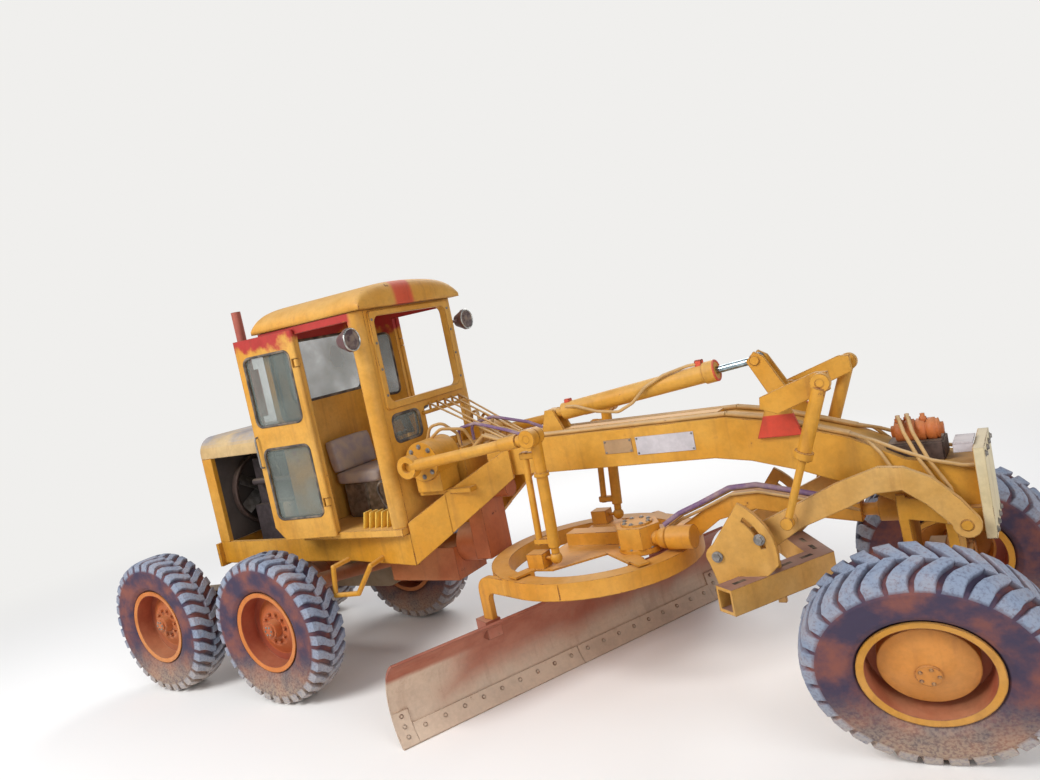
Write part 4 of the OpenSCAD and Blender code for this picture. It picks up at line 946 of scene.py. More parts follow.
# Lowest and highest corner of each window: in a side, in the rear wall, low in the front, and in a door's drawing
SIDE_WINDOW = (1.050, 2.235), (1.302, 2.790)
REAR_WINDOW = (-0.43, 2.35), (0.43, 2.86)
FRONT_WINDOW = (-0.455, 1.93), (-0.135, 2.14)
DOOR_WINDOWS = ((-0.525, 2.225), (-0.05, 2.79)), ((-0.525, 1.455), (-0.05, 2.04))
# The faces of a box by the numbers of its corners
BOX_FACES = (0, 1, 3, 2), (4, 6, 7, 5), (0, 4, 5, 1), (2, 3, 7, 6), (0, 2, 6, 4), (1, 5, 7, 3)


def round_loop(low, high, corner, put):
    """A rectangle with round corners, as a closed loop of places given by put(across, up)."""
    steps = []
    for (cx, cy, start) in ((high[0] - corner, low[1] + corner, -90), (high[0] - corner, high[1] - corner, 0),
                            (low[0] + corner, high[1] - corner, 90), (low[0] + corner, low[1] + corner, 180)):
        for i in range(7):
            turn = math.radians(start + i * 15)
            steps.append(put(cx + corner * math.cos(turn), cy + corner * math.sin(turn)))
    return steps


def door_place(side):
    """From a door's own drawing, lying back from its hinge, to the frame."""
    flip = Matrix.Scale(-1, 4, (0, 1, 0)) if side > 0 else Matrix.Identity(4)
    return flip @ turned_at(along(HINGE_X, -HINGE_Y, 0), DOOR_OPEN, "Z")


def make_gaskets():
    """A rubber round each window, on both faces of its wall or door."""
    radius = sizes().gasket_radius
    rear_x, front_x, wall = 0.975, 2.050, 0.036
    body_loops = []
    for side, _ in SIDES:
        for out in (0.0, wall):
            body_loops.append(round_loop(*SIDE_WINDOW, 0.06, lambda x, z: along(x, side * (SIDE_Y - 0.002 - out), z)))
    for out in (0.002, 0.002 + wall):
        body_loops.append(round_loop(*REAR_WINDOW, 0.07, lambda y, z: along(rear_x + out, y, z)))
        body_loops.append(round_loop(*FRONT_WINDOW, 0.05, lambda y, z: along(front_x - out, y, z)))
    pipes("window_gaskets", "frame", body_loops, radius, "Black rubber", bend=0.0, closed=True, sides=8)
    for side, name in SIDES:
        body, place = "door_" + name, door_place(side)
        loops = [round_loop(*window, 0.055, lambda x, z: place @ Vector((x, out, z)))
                 for window in DOOR_WINDOWS for out in (-0.016, 0.016)]
        pipes(body + "_gaskets", body, loops, radius * 0.9, "Black rubber", bend=0.0, closed=True,
              sides=8)


def soft_box(name, low, high, crown, finish):
    """A stuffed pad: a rounded box whose faces swell, with its corners drawn in."""
    low, high = Vector(low), Vector(high)
    size, middle = high - low, (low + high) / 2
    draw_in, shrink = 0.05, 0.965
    mesh = bmesh.new()
    bmesh.ops.create_cube(mesh, size=1.0)
    bmesh.ops.subdivide_edges(mesh, edges=mesh.edges, cuts=10, use_grid_fill=True)
    for vert in mesh.verts:
        across = [min(1.0, abs(2 * c)) for c in vert.co]
        pairs = [(across[(i + 1) % 3], across[(i + 2) % 3]) for i in range(3)]
        swell = [math.copysign((1 - a ** 4) * (1 - b ** 4), c) if far > 0.99 else 0.0
                 for (a, b), far, c in zip(pairs, across, vert.co)]
        drawn = Vector([c * s * (1 - draw_in * a ** 6 * b ** 6) for (a, b), c, s in zip(pairs, vert.co, size)])
        vert.co = middle + drawn * shrink + Vector(swell) * crown
    return smooth_piece(name, mesh, finish)


def boxes(name, spans, finish, bevel=0.004):
    """Plain plates and blocks with softened edges, one for each lowest and highest corner."""
    verts, faces = [], []
    for low, high in spans:
        first = len(verts)
        verts += [(x, y, z) for x in (low[0], high[0]) for y in (low[1], high[1]) for z in (low[2], high[2])]
        faces += [tuple(first + i for i in face) for face in BOX_FACES]
    made = piece_from(name, verts, faces, finish)
    if bevel:
        soften(made, bevel)
    return made


def make_seat():
    """A seat with two stuffed pads on a steel pedestal."""
    pedestal = boxes("seat_pedestal", [(along(1.115, -0.19, 1.301), along(1.365, 0.19, 1.598))], "Worn steel", 0.012)
    settle(pedestal, "frame")
    cushion = soft_box("seat_cushion", along(1.085, -0.235, 1.602), along(1.56, 0.235, 1.700), 0.010, "Seat vinyl")
    back = soft_box("seat_back", (-0.045, -0.235, 0.0), (0.045, 0.235, 0.275), 0.010, "Seat vinyl")
    back.data.transform(turned_at(along(1.118, 0, 1.705), math.radians(-8), "Y"))
    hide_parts("seat")
    for pad in (cushion, back):
        settle(pad, "frame")


def ring_points(centre, axis, radius, count, start=0.0):
    """Points spread evenly round an axis."""
    turn = Vector(axis).to_track_quat("Z", "Y")
    steps = [start + 2 * math.pi * i / count for i in range(count)]
    return [Vector(centre) + turn @ Vector((radius * math.cos(a), radius * math.sin(a), 0)) for a in steps]


def ring_of_bolts(centre, axis, radius, count, start=0.0):
    """Places of bolt heads round an axis, all facing along it."""
    return [(at, Vector(axis)) for at in ring_points(centre, axis, radius, count, start)]


def ball(name, centre, size, finish):
    """A round or flattened ball. size holds its three half widths."""
    mesh = bmesh.new()
    bmesh.ops.create_uvsphere(mesh, u_segments=24, v_segments=14, radius=1.0)
    bmesh.ops.scale(mesh, vec=size, verts=mesh.verts)
    bmesh.ops.translate(mesh, vec=centre, verts=mesh.verts)
    return smooth_piece(name, mesh, finish)


def make_roof():
    """A pressed roof with a low crown and rolled edges, over the cab's whole outline."""
    rear, front, half, eave, rise, lip = 0.915, 2.115, 0.622, 2.964, 0.196, 0.028
    # How square the ends and the sides are, and how much of the rise is in the rolled edge
    end_power, side_power, rolled = 26, 5, 0.74
    rows, columns = 36, 40
    wide = columns + 1
    verts = []
    for i in range(rows + 1):
        u = math.sin(math.pi * (i / rows - 0.5))
        end = (1 - abs(u) ** end_power) ** 0.5
        for j in range(wide):
            v = math.sin(math.pi * (j / columns - 0.5))
            crown = rolled * (1 - abs(v) ** side_power) ** 0.5 + (1 - rolled) * (1 - v * v)
            verts.append(along((rear + front) / 2 + u * (front - rear) / 2, v * half,
                               eave + lip + (rise - lip) * crown * end))
    faces = [(i * wide + j, (i + 1) * wide + j, (i + 1) * wide + j + 1, i * wide + j + 1)
             for i in range(rows) for j in range(columns)]
    rim = [j for j in range(wide)] + [i * wide + columns for i in range(1, rows + 1)]
    rim += [rows * wide + j for j in reversed(range(columns))] + [i * wide for i in reversed(range(1, rows))]
    first = len(verts)
    verts += [Vector((verts[k].x, verts[k].y, eave)) for k in rim]
    faces += [(rim[k], rim[(k + 1) % len(rim)], first + (k + 1) % len(rim), first + k) for k in range(len(rim))]
    faces.append(tuple(range(first, first + len(rim))))
    roof = piece_from("roof_pressing", verts, faces, "Roof yellow", smooth=True)
    outward(roof)
    roof.data.polygons[len(roof.data.polygons) - 1].use_smooth = False
    soften(roof, 0.004)
    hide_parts("cab_roof")
    settle(roof, "frame")


# Engine bay and nose

def turned(name, section, finish, place, steps=32):
    """A turned part from a section of (radius, height) points, set where place says."""
    made = lathe(name, section, finish, steps)
    made.data.transform(place)
    outward(made)
    return made


def top_of(node, x, y):
    """The highest place of a node above a point."""
    hit, where, _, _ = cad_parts[node].ray_cast(Vector((x, y, 4.0)), Vector((0, 0, -1)))
    if not hit:
        raise RuntimeError("nothing of " + node + " under that place")
    return where.z


def make_engine_bay():
    """The fan's shroud, and the manifold, filters and leads on the engine's right side."""
    ring = [(0.310, -0.040), (0.322, -0.040), (0.322, 0.036), (0.340, 0.036), (0.340, 0.042), (0.310, 0.042)]
    shroud = turned("fan_shroud", ring, "Dark iron", turned_at(along(-0.146, 0, 1.600), math.pi / 2, "Y"), 64)
    settle(shroud, "frame")
    manifold = [route(((x, -0.165, 1.700), (x, -0.235, 1.700))) for x in (0.10, 0.30, 0.50, 0.70)]
    manifold.append(route(((0.06, -0.240, 1.700), (0.78, -0.240, 1.700))))
    pipes("manifold", "frame", manifold, 0.030, "Engine iron", bend=0.0)
    can = [(0.001, 0.0), (0.046, 0.0), (0.052, 0.008), (0.052, 0.170), (0.044, 0.186), (0.001, 0.190)]
    cans = [turned("can", can, finish, Matrix.Translation(along(x, -0.285, 1.320)))
            for x, finish in ((0.36, "Engine iron"), (0.50, "Brown plate"))]
    cans.append(boxes("can_bracket", [(along(0.30, -0.300, 1.508), along(0.56, -0.225, 1.528))], "Dark iron"))
    settle(joined("filters", cans), "frame")
    leads = [route(((x, -0.128, 1.960), (x, -0.160, 2.010), (x + 0.06, -0.210, 1.900), (x + 0.08, -0.200, 1.726)))
             for x in (0.12, 0.30, 0.48)]
    pipes("engine_leads", "frame", leads, 0.008, "Black rubber", bend=0.03, sides=8)


def make_nose_unit():
    """The orange steering unit in its dark saddle on top of the nose, with its ports and bracket."""
    left, right = along(5.400, 0, 0).x, along(5.700, 0, 0).x
    under = [top_of("main_beam", x, 0.0) for x in (left + 0.01, right - 0.01)]
    base, high = min(under), max(under)

    def spot(x, y, z):
        return Vector((left + x, y, high + z))

    saddle = boxes("saddle", [((left, -0.120, base - 0.005), (right, 0.120, high + 0.030))], "Dark iron", 0.010)
    section = [(0.001, 0.0), (0.034, 0.0), (0.034, 0.016), (0.058, 0.022)]
    for rib in range(4):
        section += [(radius, z + rib * 0.054) for radius, z in ((0.064, 0.030), (0.064, 0.070), (0.056, 0.074),
                                                                (0.056, 0.080))]
    section += [(0.060, 0.250), (0.034, 0.256), (0.034, 0.272), (0.001, 0.272)]
    unit = turned("unit", section, "Nose unit", turned_at(spot(0.03, -0.03, 0.085), math.pi / 2, "Y"), 24)
    stub = [(0.001, 0.0), (0.020, 0.0), (0.020, 0.030), (0.013, 0.034), (0.013, 0.050), (0.001, 0.050)]
    places = ((0.075, -0.045), (0.120, -0.015), (0.205, -0.045))
    ports = [turned("port", stub, "Nose unit", Matrix.Translation(spot(x, y, 0.130)), 12) for x, y in places]
    settle(joined("nose_unit", [saddle, unit] + ports), "frame")
    angle = boxes("angle", [
        (along(5.745, -0.165, high - 0.035), along(5.846, -0.155, high + 0.015)),
        (along(5.745, -0.165, high + 0.010), along(5.846, 0.050, high + 0.020))], "Bare plate", 0.002)
    settle(angle, "frame")
    runs = [[spot(x, y, 0.170), spot(x + 0.005, y - 0.030, 0.186), spot(x + 0.035, -0.150, 0.100),
             spot(x + 0.100, -0.200, -0.050), spot(x + 0.190, -0.214, -0.220), spot(x + 0.200, -0.210, -0.420)]
            for x, y in places[:2]]
    pipes("unit_hoses", "frame", runs, 0.011, "Lines", bend=0.05)


def make_stay_rods():
    """A thin rod with its clamps behind each lift link."""
    for side, name in SIDES:
        body = "lift_link_" + name
        high, low = route(((3.222, 0.538, 1.780), (3.176, 0.504, 1.120)), side)
        pipes("stay_rod_" + name, body, [[high, low]], 0.024, "Beam yellow", bend=0.0)
        clamps = []
        for share, reach in ((0.04, 0.110), (0.96, 0.112)):
            at = high.lerp(low, share)
            span = (at - Vector((0.034, 0.024, 0.022)), at + Vector((reach, 0.024, 0.022)))
            clamps.append(boxes("clamp", [span], "Beam yellow"))
        settle(joined("clamps_" + name, clamps), body)


# Lamps

LAMP_FACE = (2.075, 0.720, 2.760)
LENS_RADIUS, RING_RADIUS = 0.076, 0.081


def make_lamps():
    """A dark lens in a bright ring on the face of each work lamp."""
    x, y, z = LAMP_FACE
    rings = []
    for side, name in SIDES:
        lens = ball("lamp_lens_" + name, along(x, side * y, z), (0.010, LENS_RADIUS, LENS_RADIUS), "Lamp glass")
        settle(lens, "frame")
        rings.append(ring_points(along(x + 0.001, side * y, z), (1, 0, 0), RING_RADIUS, 40))
    pipes("lamp_rings", "frame", rings, 0.0065, "Bright ring", bend=0.0, closed=True, sides=10)


# Blade

CIRCLE_X = 3.312
BLADE_YAW, BLADE_PITCH = math.radians(26), math.radians(11)
BLADE_LOW_X, BLADE_HEIGHT, BLADE_SAG = -0.285, 0.610, 0.165
BLADE_ENDS = (-1.640, 1.410)
EDGE_T = 0.012


def blade_point(across, share, lift=0.0):
    """A point on the moldboard's hollow face at a share of its height, and the way the face looks there."""
    chord = BLADE_HEIGHT / math.cos(BLADE_PITCH)
    radius = (chord ** 2 / 4 + BLADE_SAG ** 2) / (2 * BLADE_SAG)
    turn = math.pi + math.asin(chord / 2 / radius) * (1 - 2 * share)
    x = radius - BLADE_SAG + (radius - lift) * math.cos(turn)
    z = chord / 2 + (radius - lift) * math.sin(turn)
    place = turned_at(along(CIRCLE_X, 0, 0), -BLADE_YAW, "Z") @ turned_at((BLADE_LOW_X, across, 0), BLADE_PITCH, "Y")
    return place @ Vector((x, 0, z)), place.to_3x3() @ Vector((-math.cos(turn), 0, -math.sin(turn)))


def blade_strip(name, start, end, low, high, finish):
    """A plate that follows the moldboard's face between two places across it and two shares of its height."""
    steps = 8
    shares = [low + (high - low) * i / steps for i in range(steps + 1)]
    section = [(s, EDGE_T) for s in shares] + [(s, -0.001) for s in reversed(shares)]
    verts = [blade_point(across, share, lift)[0] for across in (start, end) for share, lift in section]
    count = len(section)
    faces = [(i, (i + 1) % count, count + (i + 1) % count, count + i) for i in range(count)]
    faces += [tuple(reversed(range(count))), tuple(range(count, 2 * count))]
    made = piece_from(name, verts, faces, finish)
    outward(made)
    return made


def make_cutting_edge():
    """Two lengths of worn cutting edge, bolted along the foot of the moldboard, and an end bit at each side."""
    low_end, high_end = BLADE_ENDS
    bit, gap, per_length = 0.12, 0.002, 9
    middle = (low_end + high_end) / 2
    lengths = ((low_end + bit + gap, middle - gap), (middle + gap, high_end - bit - gap))
    spans = ((low_end, low_end + bit), *lengths, (high_end - bit, high_end))
    strips = [blade_strip("edge_%d" % i, *span, 0.0, 0.20 if span in lengths else 0.34, "Moldboard")
              for i, span in enumerate(spans)]
    settle(joined("cutting_edge", strips), "circle")
    spots = [blade_point(start + (end - start) * (i + 0.5) / per_length, 0.13, EDGE_T)
             for start, end in lengths for i in range(per_length)]
    spots += [blade_point(across, share, EDGE_T)
              for across in (low_end + bit / 2, high_end - bit / 2) for share in (0.09, 0.19, 0.29)]
    bolts("cutting_edge_bolts", "circle", spots, 0.012, 0.006, "Moldboard")


# Bolts

def make_bolts():
    """Bolt heads where the real machine shows them, on each body."""
    for side, name in SIDES:
        hub = front_wheel_place(side)
        out = hub.to_3x3() @ Vector((0, 0, 1))
        bolts("hub_bolts_" + name, "front_wheel_" + name,
              ring_of_bolts(hub @ Vector((0, 0, 0.142)), out, 0.046, 5), 0.008, finish="Axle yellow")
        bolts("pivot_bolts_" + name, "tandem_" + name,
              ring_of_bolts(along(0, side * 0.662, TYRE_RADIUS), (0, side, 0), 0.125, 10), 0.013, finish="Tandem")
    for label, x, side in REAR_WHEELS:
        cap = ring_of_bolts(upright_wheel_place(x, side) @ Vector((0, 0, 0.111)), (0, side, 0), 0.034, 6)
        bolts("cap_bolts_" + label, "rear_wheel_" + label, cap, 0.007)
    end_plate = [(along(5.900, y, z), (1, 0, 0)) for y in (-0.21, -0.07, 0.07, 0.21) for z in (1.04, 1.46)]
    screen = [(along(2.074, y, z), (1, 0, 0)) for y in (-0.468, 0.468) for z in (2.30, 2.50, 2.70, 2.88)]
    caps = [spot for side, _ in SIDES
            for spot in ring_of_bolts(along(2.262, side * 0.471, 1.770), (0, side, 0), 0.115, 8)]
    up, gear, gear_foot = (0, 0, 1), along(3.752, -0.150, 1.150), along(3.752, -0.150, 0.988)
    # The scarifier's quadrant turns on its lower pin, and its slot's pin stands this far round it
    pin, reach, turn = (4.400, 0.990), 0.294, math.radians(20)
    quadrant = [(along(pin[0] + reach * math.cos(turn), -0.435, pin[1] + reach * math.sin(turn)), (0, -1, 0)),
                (along(pin[0], -0.440, pin[1]), (0, -1, 0))]
    for name, body, spots, radius in (
        ("frame_bolts", "frame", end_plate + caps, sizes().bolt_radius),
        ("screen_bolts", "frame", screen, 0.008),
        ("gear_box_bolts", "drawbar", ring_of_bolts(gear, up, 0.088, 8), 0.012),
        ("gear_foot_bolts", "drawbar", ring_of_bolts(gear_foot, up, 0.140, 6, 0.5), 0.009),
        ("quadrant_bolts", "scarifier", quadrant, 0.026),
    ):
        bolts(name, body, spots, radius)
    foot, head = along(4.850, 0, 1.175), along(5.170, 0, 1.975)
    down = (foot - head).normalized()
    middles = [(foot + head) / 2 + Vector((0, side * 0.405, 0)) for side, _ in SIDES]
    bolts("link_bolts", "scarifier_links",
          [spot for m in middles for spot in ring_of_bolts(m + down * 0.024, down, 0.040, 6)], 0.008,
          finish="Beam yellow")


# Hoses and pipes

BARREL_FOOT, BARREL_TURN = (3.182, 1.935), math.atan2(0.180, 1.540)


def on_barrel(run, across, over):
    """A point beside the scarifier's cylinder: along it from its foot, across and above its axis."""
    cosine, sine = math.cos(BARREL_TURN), math.sin(BARREL_TURN)
    return along(BARREL_FOOT[0] + run * cosine - over * sine, across, BARREL_FOOT[1] + run * sine + over * cosine)


BARREL_HOSE = ((0.15, -0.050, 0.030), (0.24, -0.076, 0.020), (0.40, -0.086, -0.055), (0.56, -0.090, -0.095),
               (0.68, -0.088, -0.060), (0.80, -0.080, 0.020), (0.94, -0.056, 0.064), (1.10, -0.020, 0.078),
               (1.17, -0.010, 0.074))
# Over the arch of the drawbar, from the circle's motor
ARCH = ((3.960, -0.175, 1.100), (4.060, -0.120, 1.160), (4.210, -0.090, 1.215), (4.420, -0.088, 1.305),
        (4.600, -0.088, 1.315), (4.850, -0.085, 1.255), (5.120, -0.070, 1.185), (5.190, -0.050, 1.160))
# Round the nose, from the lines on the beam to the end plate and the bolster
NOSE_HOSES = (
    ((5.215, 0.138, 1.616), (5.340, 0.160, 1.575), (5.480, 0.190, 1.510), (5.640, 0.205, 1.440),
     (5.780, 0.210, 1.405), (5.850, 0.210, 1.400)),
    ((5.215, 0.102, 1.616), (5.300, 0.150, 1.590), (5.380, 0.186, 1.500), (5.460, 0.192, 1.330),
     (5.560, 0.200, 1.240), (5.690, 0.205, 1.180), (5.720, 0.205, 1.150)))
# From the valves to the lift cases, and from the valves along the beam
VALVE_HOSES = (
    ((2.430, 0.060, 1.700), (2.520, 0.080, 1.720), (2.500, 0.200, 1.940), (2.360, 0.300, 1.975), (2.270, 0.330, 1.910)),
    ((2.400, 0.150, 1.790), (2.400, 0.150, 1.900), (2.340, 0.240, 2.010), (2.250, 0.280, 2.000), (2.215, 0.300, 1.900)))
BEAM_HOSE = ((2.360, 0.090, 1.790), (2.360, 0.090, 1.930), (2.560, 0.125, 1.960), (2.860, 0.148, 1.880),
             (3.000, 0.138, 1.822))
CAB_HOSE = ((1.905, -0.240, 1.362), (1.880, -0.270, 1.470), (1.800, -0.330, 1.600), (1.700, -0.350, 1.640),
            (1.620, -0.330, 1.560), (1.640, -0.300, 1.430), (1.700, -0.280, 1.305))
# The shaft across the open lower half of the cab's front
SHAFT_X, SHAFT_Z = 2.066, 2.090


def make_hoses():
    """Hoses, pipes and rods, each held at both ends by one body."""
    size = sizes().hose_radius
    pipes("barrel_hose", "scarifier_barrel", [[on_barrel(*p) for p in BARREL_HOSE]], 0.011, "Lines",
          bend=0.08)
    settle(boxes("barrel_port", [(on_barrel(1.15, -0.022, 0.050), on_barrel(1.205, 0.022, 0.094)),
                                 (on_barrel(0.125, -0.024, 0.028), on_barrel(0.175, 0.024, 0.080))], "Red paint"),
           "scarifier_barrel")
    turn = (math.cos(BARREL_TURN), 0, math.sin(BARREL_TURN))
    pipes("barrel_collar", "scarifier_barrel", [ring_points(on_barrel(1.276, 0, 0), turn, 0.064, 32)],
          0.009, "Red paint", bend=0.0, closed=True)
    pipes("arch_hose", "drawbar", [[along(x, y, z + 0.022) for x, y, z in ARCH]], size * 1.3,
          "Purple hose", bend=0.08)
    pipes("arch_pipes", "drawbar",
          [[along(x, y * 0.55 - drop * 0.4, z - 0.002 - drop * 0.3) for x, y, z in ARCH] for drop in (0.0, 0.08)],
          size * 0.8, "Lines", bend=0.06)
    nose = [route(run, side) for side, _ in SIDES for run in NOSE_HOSES]
    # Rods from the levers to the valves, and a crank with a long rod for each line on the beam
    rods = [route(((1.925, start, 1.40), (1.925, start, 1.500), (2.195, end, 1.850)))
            for start, end in ((0.020, -0.120), (0.070, -0.040), (0.130, 0.040), (0.190, 0.120))]
    starts = (0.00, 0.10, 0.20, 0.30, 0.40)
    shaft = [route(((SHAFT_X, -0.10, SHAFT_Z), (SHAFT_X, 0.50, SHAFT_Z)))]
    cranks = [route(((SHAFT_X, y, SHAFT_Z), (SHAFT_X, y, SHAFT_Z + 0.066))) for y in starts]
    long_rods = [route(((SHAFT_X, y, SHAFT_Z + 0.060), (2.800, end, 1.826)))
                 for y, end in zip(starts, (-0.138, -0.102, 0.0, 0.102, 0.138))]
    valves = [route(run, side) for side, _ in SIDES for run in VALVE_HOSES]
    beam = [route(BEAM_HOSE, side) for side, _ in SIDES]
    for name, slot, runs, radius, finish, bend, sides in (
        ("nose_hoses", "yellow_paint", nose, size * 0.85, "Lines", 0.05, 12),
        ("control_rods", "yellow_paint", rods, 0.006, "Lines", 0.02, 8),
        ("cross_shaft", "yellow_paint", shaft, 0.016, "Beam yellow", 0.0, 12),
        ("cranks", "yellow_paint", cranks, 0.010, "Beam yellow", 0.0, 8),
        ("long_rods", "yellow_paint", long_rods, 0.008, "Lines", 0.0, 8),
        ("valve_hoses", "yellow_paint", valves, 0.012, "Lines", 0.06, 12),
        ("dark_hoses", "tyre_rubber", beam, 0.012, "Purple hose", 0.06, 12),
        ("cab_hose", "tyre_rubber", [route(CAB_HOSE)], 0.011, "Black rubber", 0.09, 12),
    ):
        pipes(name, "frame", runs, radius, finish, bend, sides=sides)


# Small plates and fittings

def make_fittings():
    """Blank plates on the beam, pedals, door handles, the filler cap and the slots of the scarifier's block, which are
    thin near-black plates of painted shade.
    """
    face, behind, inset = -0.1745, -0.1695, 0.012
    plates = ((3.632, 1.636, 3.842, 1.731, "Brown plate"), (3.872, 1.612, 4.283, 1.735, "Bare plate"))
    parts = [boxes("plate", [(along(x0, face, z0), along(x1, behind, z1))], finish, 0.001)
             for x0, z0, x1, z1, finish in plates]
    settle(joined("blank_plates", parts), "frame")
    corners = [(along(x, face, z), (0, -1, 0)) for x0, z0, x1, z1, _ in plates
               for x in (x0 + inset, x1 - inset) for z in (z0 + inset, z1 - inset)]
    bolts("plate_rivets", "frame", corners, 0.005)
    pedals = []
    for i in range(6):
        pedal = boxes("pedal_%d" % i, [((-0.008, -0.045, -0.005), (0.008, 0.045, 0.135))], "Pedal yellow", 0.003)
        pedal.data.transform(turned_at(along(1.600 + i * 0.062, -0.500, 1.300), 0.28, "Y"))
        pedals.append(pedal)
    settle(joined("pedals", pedals), "frame")
    lever = ((-0.555, 0.016, 2.120), (-0.555, 0.045, 2.120), (-0.460, 0.045, 2.110))
    pull = ((-0.560, -0.016, 1.900), (-0.560, -0.050, 1.900), (-0.560, -0.050, 2.150), (-0.560, -0.016, 2.150))
    for side, name in SIDES:
        body, place = "door_" + name, door_place(side)
        pipes(body + "_handles", body, [[place @ Vector(p) for p in run] for run in (lever, pull)], 0.008,
              "Worn steel", bend=0.02)
    cap = lathe("filler_cap", [(0.001, 0.0), (0.050, 0.0), (0.050, 0.022), (0.044, 0.030), (0.001, 0.034)],
                "Beam yellow", 32)
    cap.data.transform(Matrix.Translation(along(0.640, 0.150, 2.1795)))
    settle(cap, "frame")
    slots = []
    for side, _ in SIDES:
        start, end = route(((4.470, 0.620, 0.860), (4.890, 0.0, 0.860)), side)
        turn = math.atan2(end.y - start.y, end.x - start.x) + math.pi / 2
        for share in (0.16, 0.40, 0.64, 0.86):
            # Each slot is a thin near-black plate of painted shade on the block's top.
            hole = boxes("slot", [((-0.014, -0.045, -0.001), (0.014, 0.045, 0.0012))], "Dark gap", 0.0)
            hole.data.transform(turned_at(start.lerp(end, share), turn, "Z"))
            slots.append(hole)
    settle(joined("tooth_slots", slots), "scarifier")


# Stage


BACKDROP = tint(240, 239, 237)
ROOM_TINT, ROOM_STRENGTH = tint(226, 230, 238), 0.52
# Where the floor starts to go over into the backdrop, and where it has
FLOOR_FADE = (4.5, 11.0)


# Each lamp's name, place, width and power
LIGHTS = (("Key", (-3.5, -9.0, 9.0), 6.0, 1220.0), ("Fill", (9.5, -5.0, 4.5), 6.0, 350.0),
          ("Back", (-2.0, 9.0, 8.0), 8.0, 600.0))
# The camera was fitted to the photograph on the tyres and the cab
EYE_PLACE, EYE_LENS, EYE_SENSOR = (3.86487, -5.12082, 2.64227), 28.559, 36.0
EYE_YAW, EYE_PITCH, EYE_ROLL = -0.578349, -0.0808554, -0.2027157


def make_stage():
    """The floor, the room's light, three lamps and the camera."""
    scene = bpy.context.scene
    half = 70
    floor = piece_from("Floor", [(-half, -half, 0), (half, -half, 0), (half, half, 0), (-half, half, 0)],
                       [(0, 1, 2, 3)], floor_material())
    world = bpy.data.worlds.new("Soft room")
    scene.world = world
    world.use_nodes = True
    tree = world.node_tree
    tree.nodes.clear()
    path = wire(tree, "ShaderNodeLightPath").outputs
    seen = maths(tree, "MAXIMUM", path["Is Camera Ray"], path["Is Transmission Ray"], clamp=True)
    light = wire(tree, "ShaderNodeBackground", {"Color": ROOM_TINT, "Strength": ROOM_STRENGTH})
    shown = wire(tree, "ShaderNodeBackground", {"Color": BACKDROP, "Strength": 1.0})
    mix = wire(tree, "ShaderNodeMixShader", {0: seen, 1: light.outputs[0], 2: shown.outputs[0]})
    wire(tree, "ShaderNodeOutputWorld", {"Surface": mix.outputs[0]})
    for name, place, size, watts in LIGHTS:
        lamp = bpy.data.lights.new(name, "AREA")
        lamp.shape = "DISK"
        lamp.size = size
        lamp.energy = watts
        made = show(name, lamp)
        made.location = place
        made.rotation_euler = (Vector((0, 0, 1)) - Vector(place)).to_track_quat("-Z", "Y").to_euler()
    eye = bpy.data.cameras.new("Eye")
    eye.sensor_width = EYE_SENSOR
    eye.lens = EYE_LENS
    eye.clip_end = 300.0
    camera = show("Eye", eye)
    ahead = Vector((math.sin(EYE_YAW) * math.cos(EYE_PITCH), math.cos(EYE_YAW) * math.cos(EYE_PITCH),
                    math.sin(EYE_PITCH)))
    level = Vector((math.cos(EYE_YAW), -math.sin(EYE_YAW), 0))
    above = level.cross(ahead)
    right = math.cos(EYE_ROLL) * level + math.sin(EYE_ROLL) * above
    upward = math.cos(EYE_ROLL) * above - math.sin(EYE_ROLL) * level
    turn = Matrix((right, upward, -ahead)).transposed().to_4x4()
    camera.matrix_world = Matrix.Translation(EYE_PLACE) @ turn
    scene.camera = camera
    scene.view_settings.view_transform = "Standard"


def floor_material():
    """A pale floor that takes the shadows near the machine and goes over into the backdrop further off."""
    made, tree, shader = new_material("Pale floor")
    feed(tree, shader, {"Base Color": tint(243, 241, 238), "Roughness": 0.9})
    ray = wire(tree, "ShaderNodeLightPath").outputs
    seen = maths(tree, "MAXIMUM", ray["Is Glossy Ray"], ray["Is Transmission Ray"], ray["Is Camera Ray"])
    share = times(tree, seen, ramp(tree, vectors(tree, "LENGTH", here(tree))["Value"], *FLOOR_FADE))
    glow = wire(tree, "ShaderNodeEmission", {"Color": BACKDROP, "Strength": 1.0}).outputs[0]
    mix = wire(tree, "ShaderNodeMixShader", {0: share, 1: shader.outputs[0], 2: glow})
    tree.links.new(mix.outputs[0], tree.nodes["Material Output"].inputs["Surface"])
    return made.name


# Operators and panel


class GRADER_OT_finishes(bpy.types.Operator):
    """Builds the weathered materials and puts them on the frame"""

    bl_idname = "grader.finishes"
    bl_label = "Finishes"

    def execute(self, context):
        make_finishes()
        for build in (ring_tree, bolt_tree, pipe_tree):
            build()
        return {"FINISHED"}


class GRADER_OT_tyres(bpy.types.Operator):
    """Builds the six lugged tyres"""

    bl_idname = "grader.tyres"
    bl_label = "Tyres"

    def execute(self, context):
        make_tyres()
        return {"FINISHED"}


class GRADER_OT_gaskets(bpy.types.Operator):
    """Builds the rubber round the windows and the door panes"""

    bl_idname = "grader.gaskets"
    bl_label = "Gaskets"

    def execute(self, context):
        make_gaskets()
        return {"FINISHED"}


class GRADER_OT_seat(bpy.types.Operator):
    """Builds the seat with its stuffed pads"""

    bl_idname = "grader.seat"
    bl_label = "Seat"

    def execute(self, context):
        make_seat()
        return {"FINISHED"}


class GRADER_OT_roof(bpy.types.Operator):
    """Builds the pressed roof of the cab"""

    bl_idname = "grader.roof"
    bl_label = "Roof"

    def execute(self, context):
        make_roof()
        return {"FINISHED"}


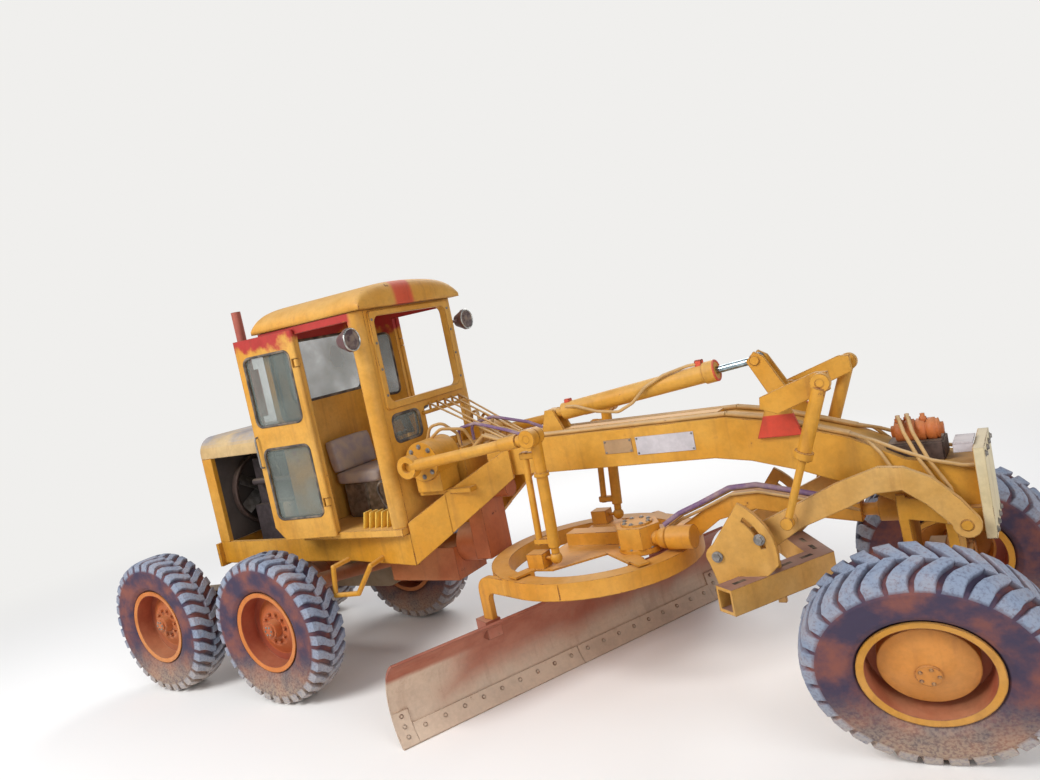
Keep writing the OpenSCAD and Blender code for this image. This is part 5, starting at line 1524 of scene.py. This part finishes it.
class GRADER_OT_engine_bay(bpy.types.Operator):
    """Builds what shows on the engine's right side"""

    bl_idname = "grader.engine_bay"
    bl_label = "Engine Bay"

    def execute(self, context):
        make_engine_bay()
        return {"FINISHED"}


class GRADER_OT_nose_unit(bpy.types.Operator):
    """Builds the steering unit on the nose"""

    bl_idname = "grader.nose_unit"
    bl_label = "Nose Unit"

    def execute(self, context):
        make_nose_unit()
        return {"FINISHED"}


class GRADER_OT_stay_rods(bpy.types.Operator):
    """Builds the thin rods behind the lift links"""

    bl_idname = "grader.stay_rods"
    bl_label = "Stay Rods"

    def execute(self, context):
        make_stay_rods()
        return {"FINISHED"}


class GRADER_OT_lamps(bpy.types.Operator):
    """Builds the lens and the ring of each work lamp"""

    bl_idname = "grader.lamps"
    bl_label = "Lamps"

    def execute(self, context):
        make_lamps()
        return {"FINISHED"}


class GRADER_OT_cutting_edge(bpy.types.Operator):
    """Builds the bolted cutting edge of the moldboard"""

    bl_idname = "grader.cutting_edge"
    bl_label = "Cutting Edge"

    def execute(self, context):
        make_cutting_edge()
        return {"FINISHED"}


class GRADER_OT_bolts(bpy.types.Operator):
    """Builds the bolt heads"""

    bl_idname = "grader.bolts"
    bl_label = "Bolts"

    def execute(self, context):
        make_bolts()
        return {"FINISHED"}


class GRADER_OT_hoses(bpy.types.Operator):
    """Builds the hoses, pipes and control rods"""

    bl_idname = "grader.hoses"
    bl_label = "Hoses"

    def execute(self, context):
        make_hoses()
        return {"FINISHED"}


class GRADER_OT_fittings(bpy.types.Operator):
    """Builds the plates, pedals, handles and other fittings"""

    bl_idname = "grader.fittings"
    bl_label = "Fittings"

    def execute(self, context):
        make_fittings()
        return {"FINISHED"}


class GRADER_OT_stage(bpy.types.Operator):
    """Builds the floor, the lamps and the camera"""

    bl_idname = "grader.stage"
    bl_label = "Stage"

    def execute(self, context):
        make_stage()
        return {"FINISHED"}


OPERATORS = (GRADER_OT_finishes, GRADER_OT_tyres, GRADER_OT_gaskets, GRADER_OT_seat, GRADER_OT_roof,
             GRADER_OT_engine_bay, GRADER_OT_nose_unit, GRADER_OT_stay_rods, GRADER_OT_lamps,
             GRADER_OT_cutting_edge, GRADER_OT_bolts, GRADER_OT_hoses, GRADER_OT_fittings, GRADER_OT_stage)


class GRADER_PT_parts(bpy.types.Panel):
    """Lists the parts that can be built"""

    bl_idname = "GRADER_PT_parts"
    bl_label = "Motor Grader"
    bl_space_type = "VIEW_3D"
    bl_region_type = "UI"
    bl_category = "Motor Grader"

    def draw(self, context):
        for part in OPERATORS:
            self.layout.operator(part.bl_idname)


def register():
    for kind in (GraderSizes, GraderColours, *OPERATORS, GRADER_PT_parts):
        bpy.utils.register_class(kind)
    bpy.types.Scene.grader_sizes = PointerProperty(type=GraderSizes)
    bpy.types.Scene.grader_colours = PointerProperty(type=GraderColours)


def unregister():
    del bpy.types.Scene.grader_colours
    del bpy.types.Scene.grader_sizes
    for kind in (GRADER_PT_parts, *reversed(OPERATORS), GraderColours, GraderSizes):
        bpy.utils.unregister_class(kind)


def main():
    register()
    for part in OPERATORS:
        group, name = part.bl_idname.split(".")
        getattr(getattr(bpy.ops, group), name)()


if __name__ == "__main__":
    main()
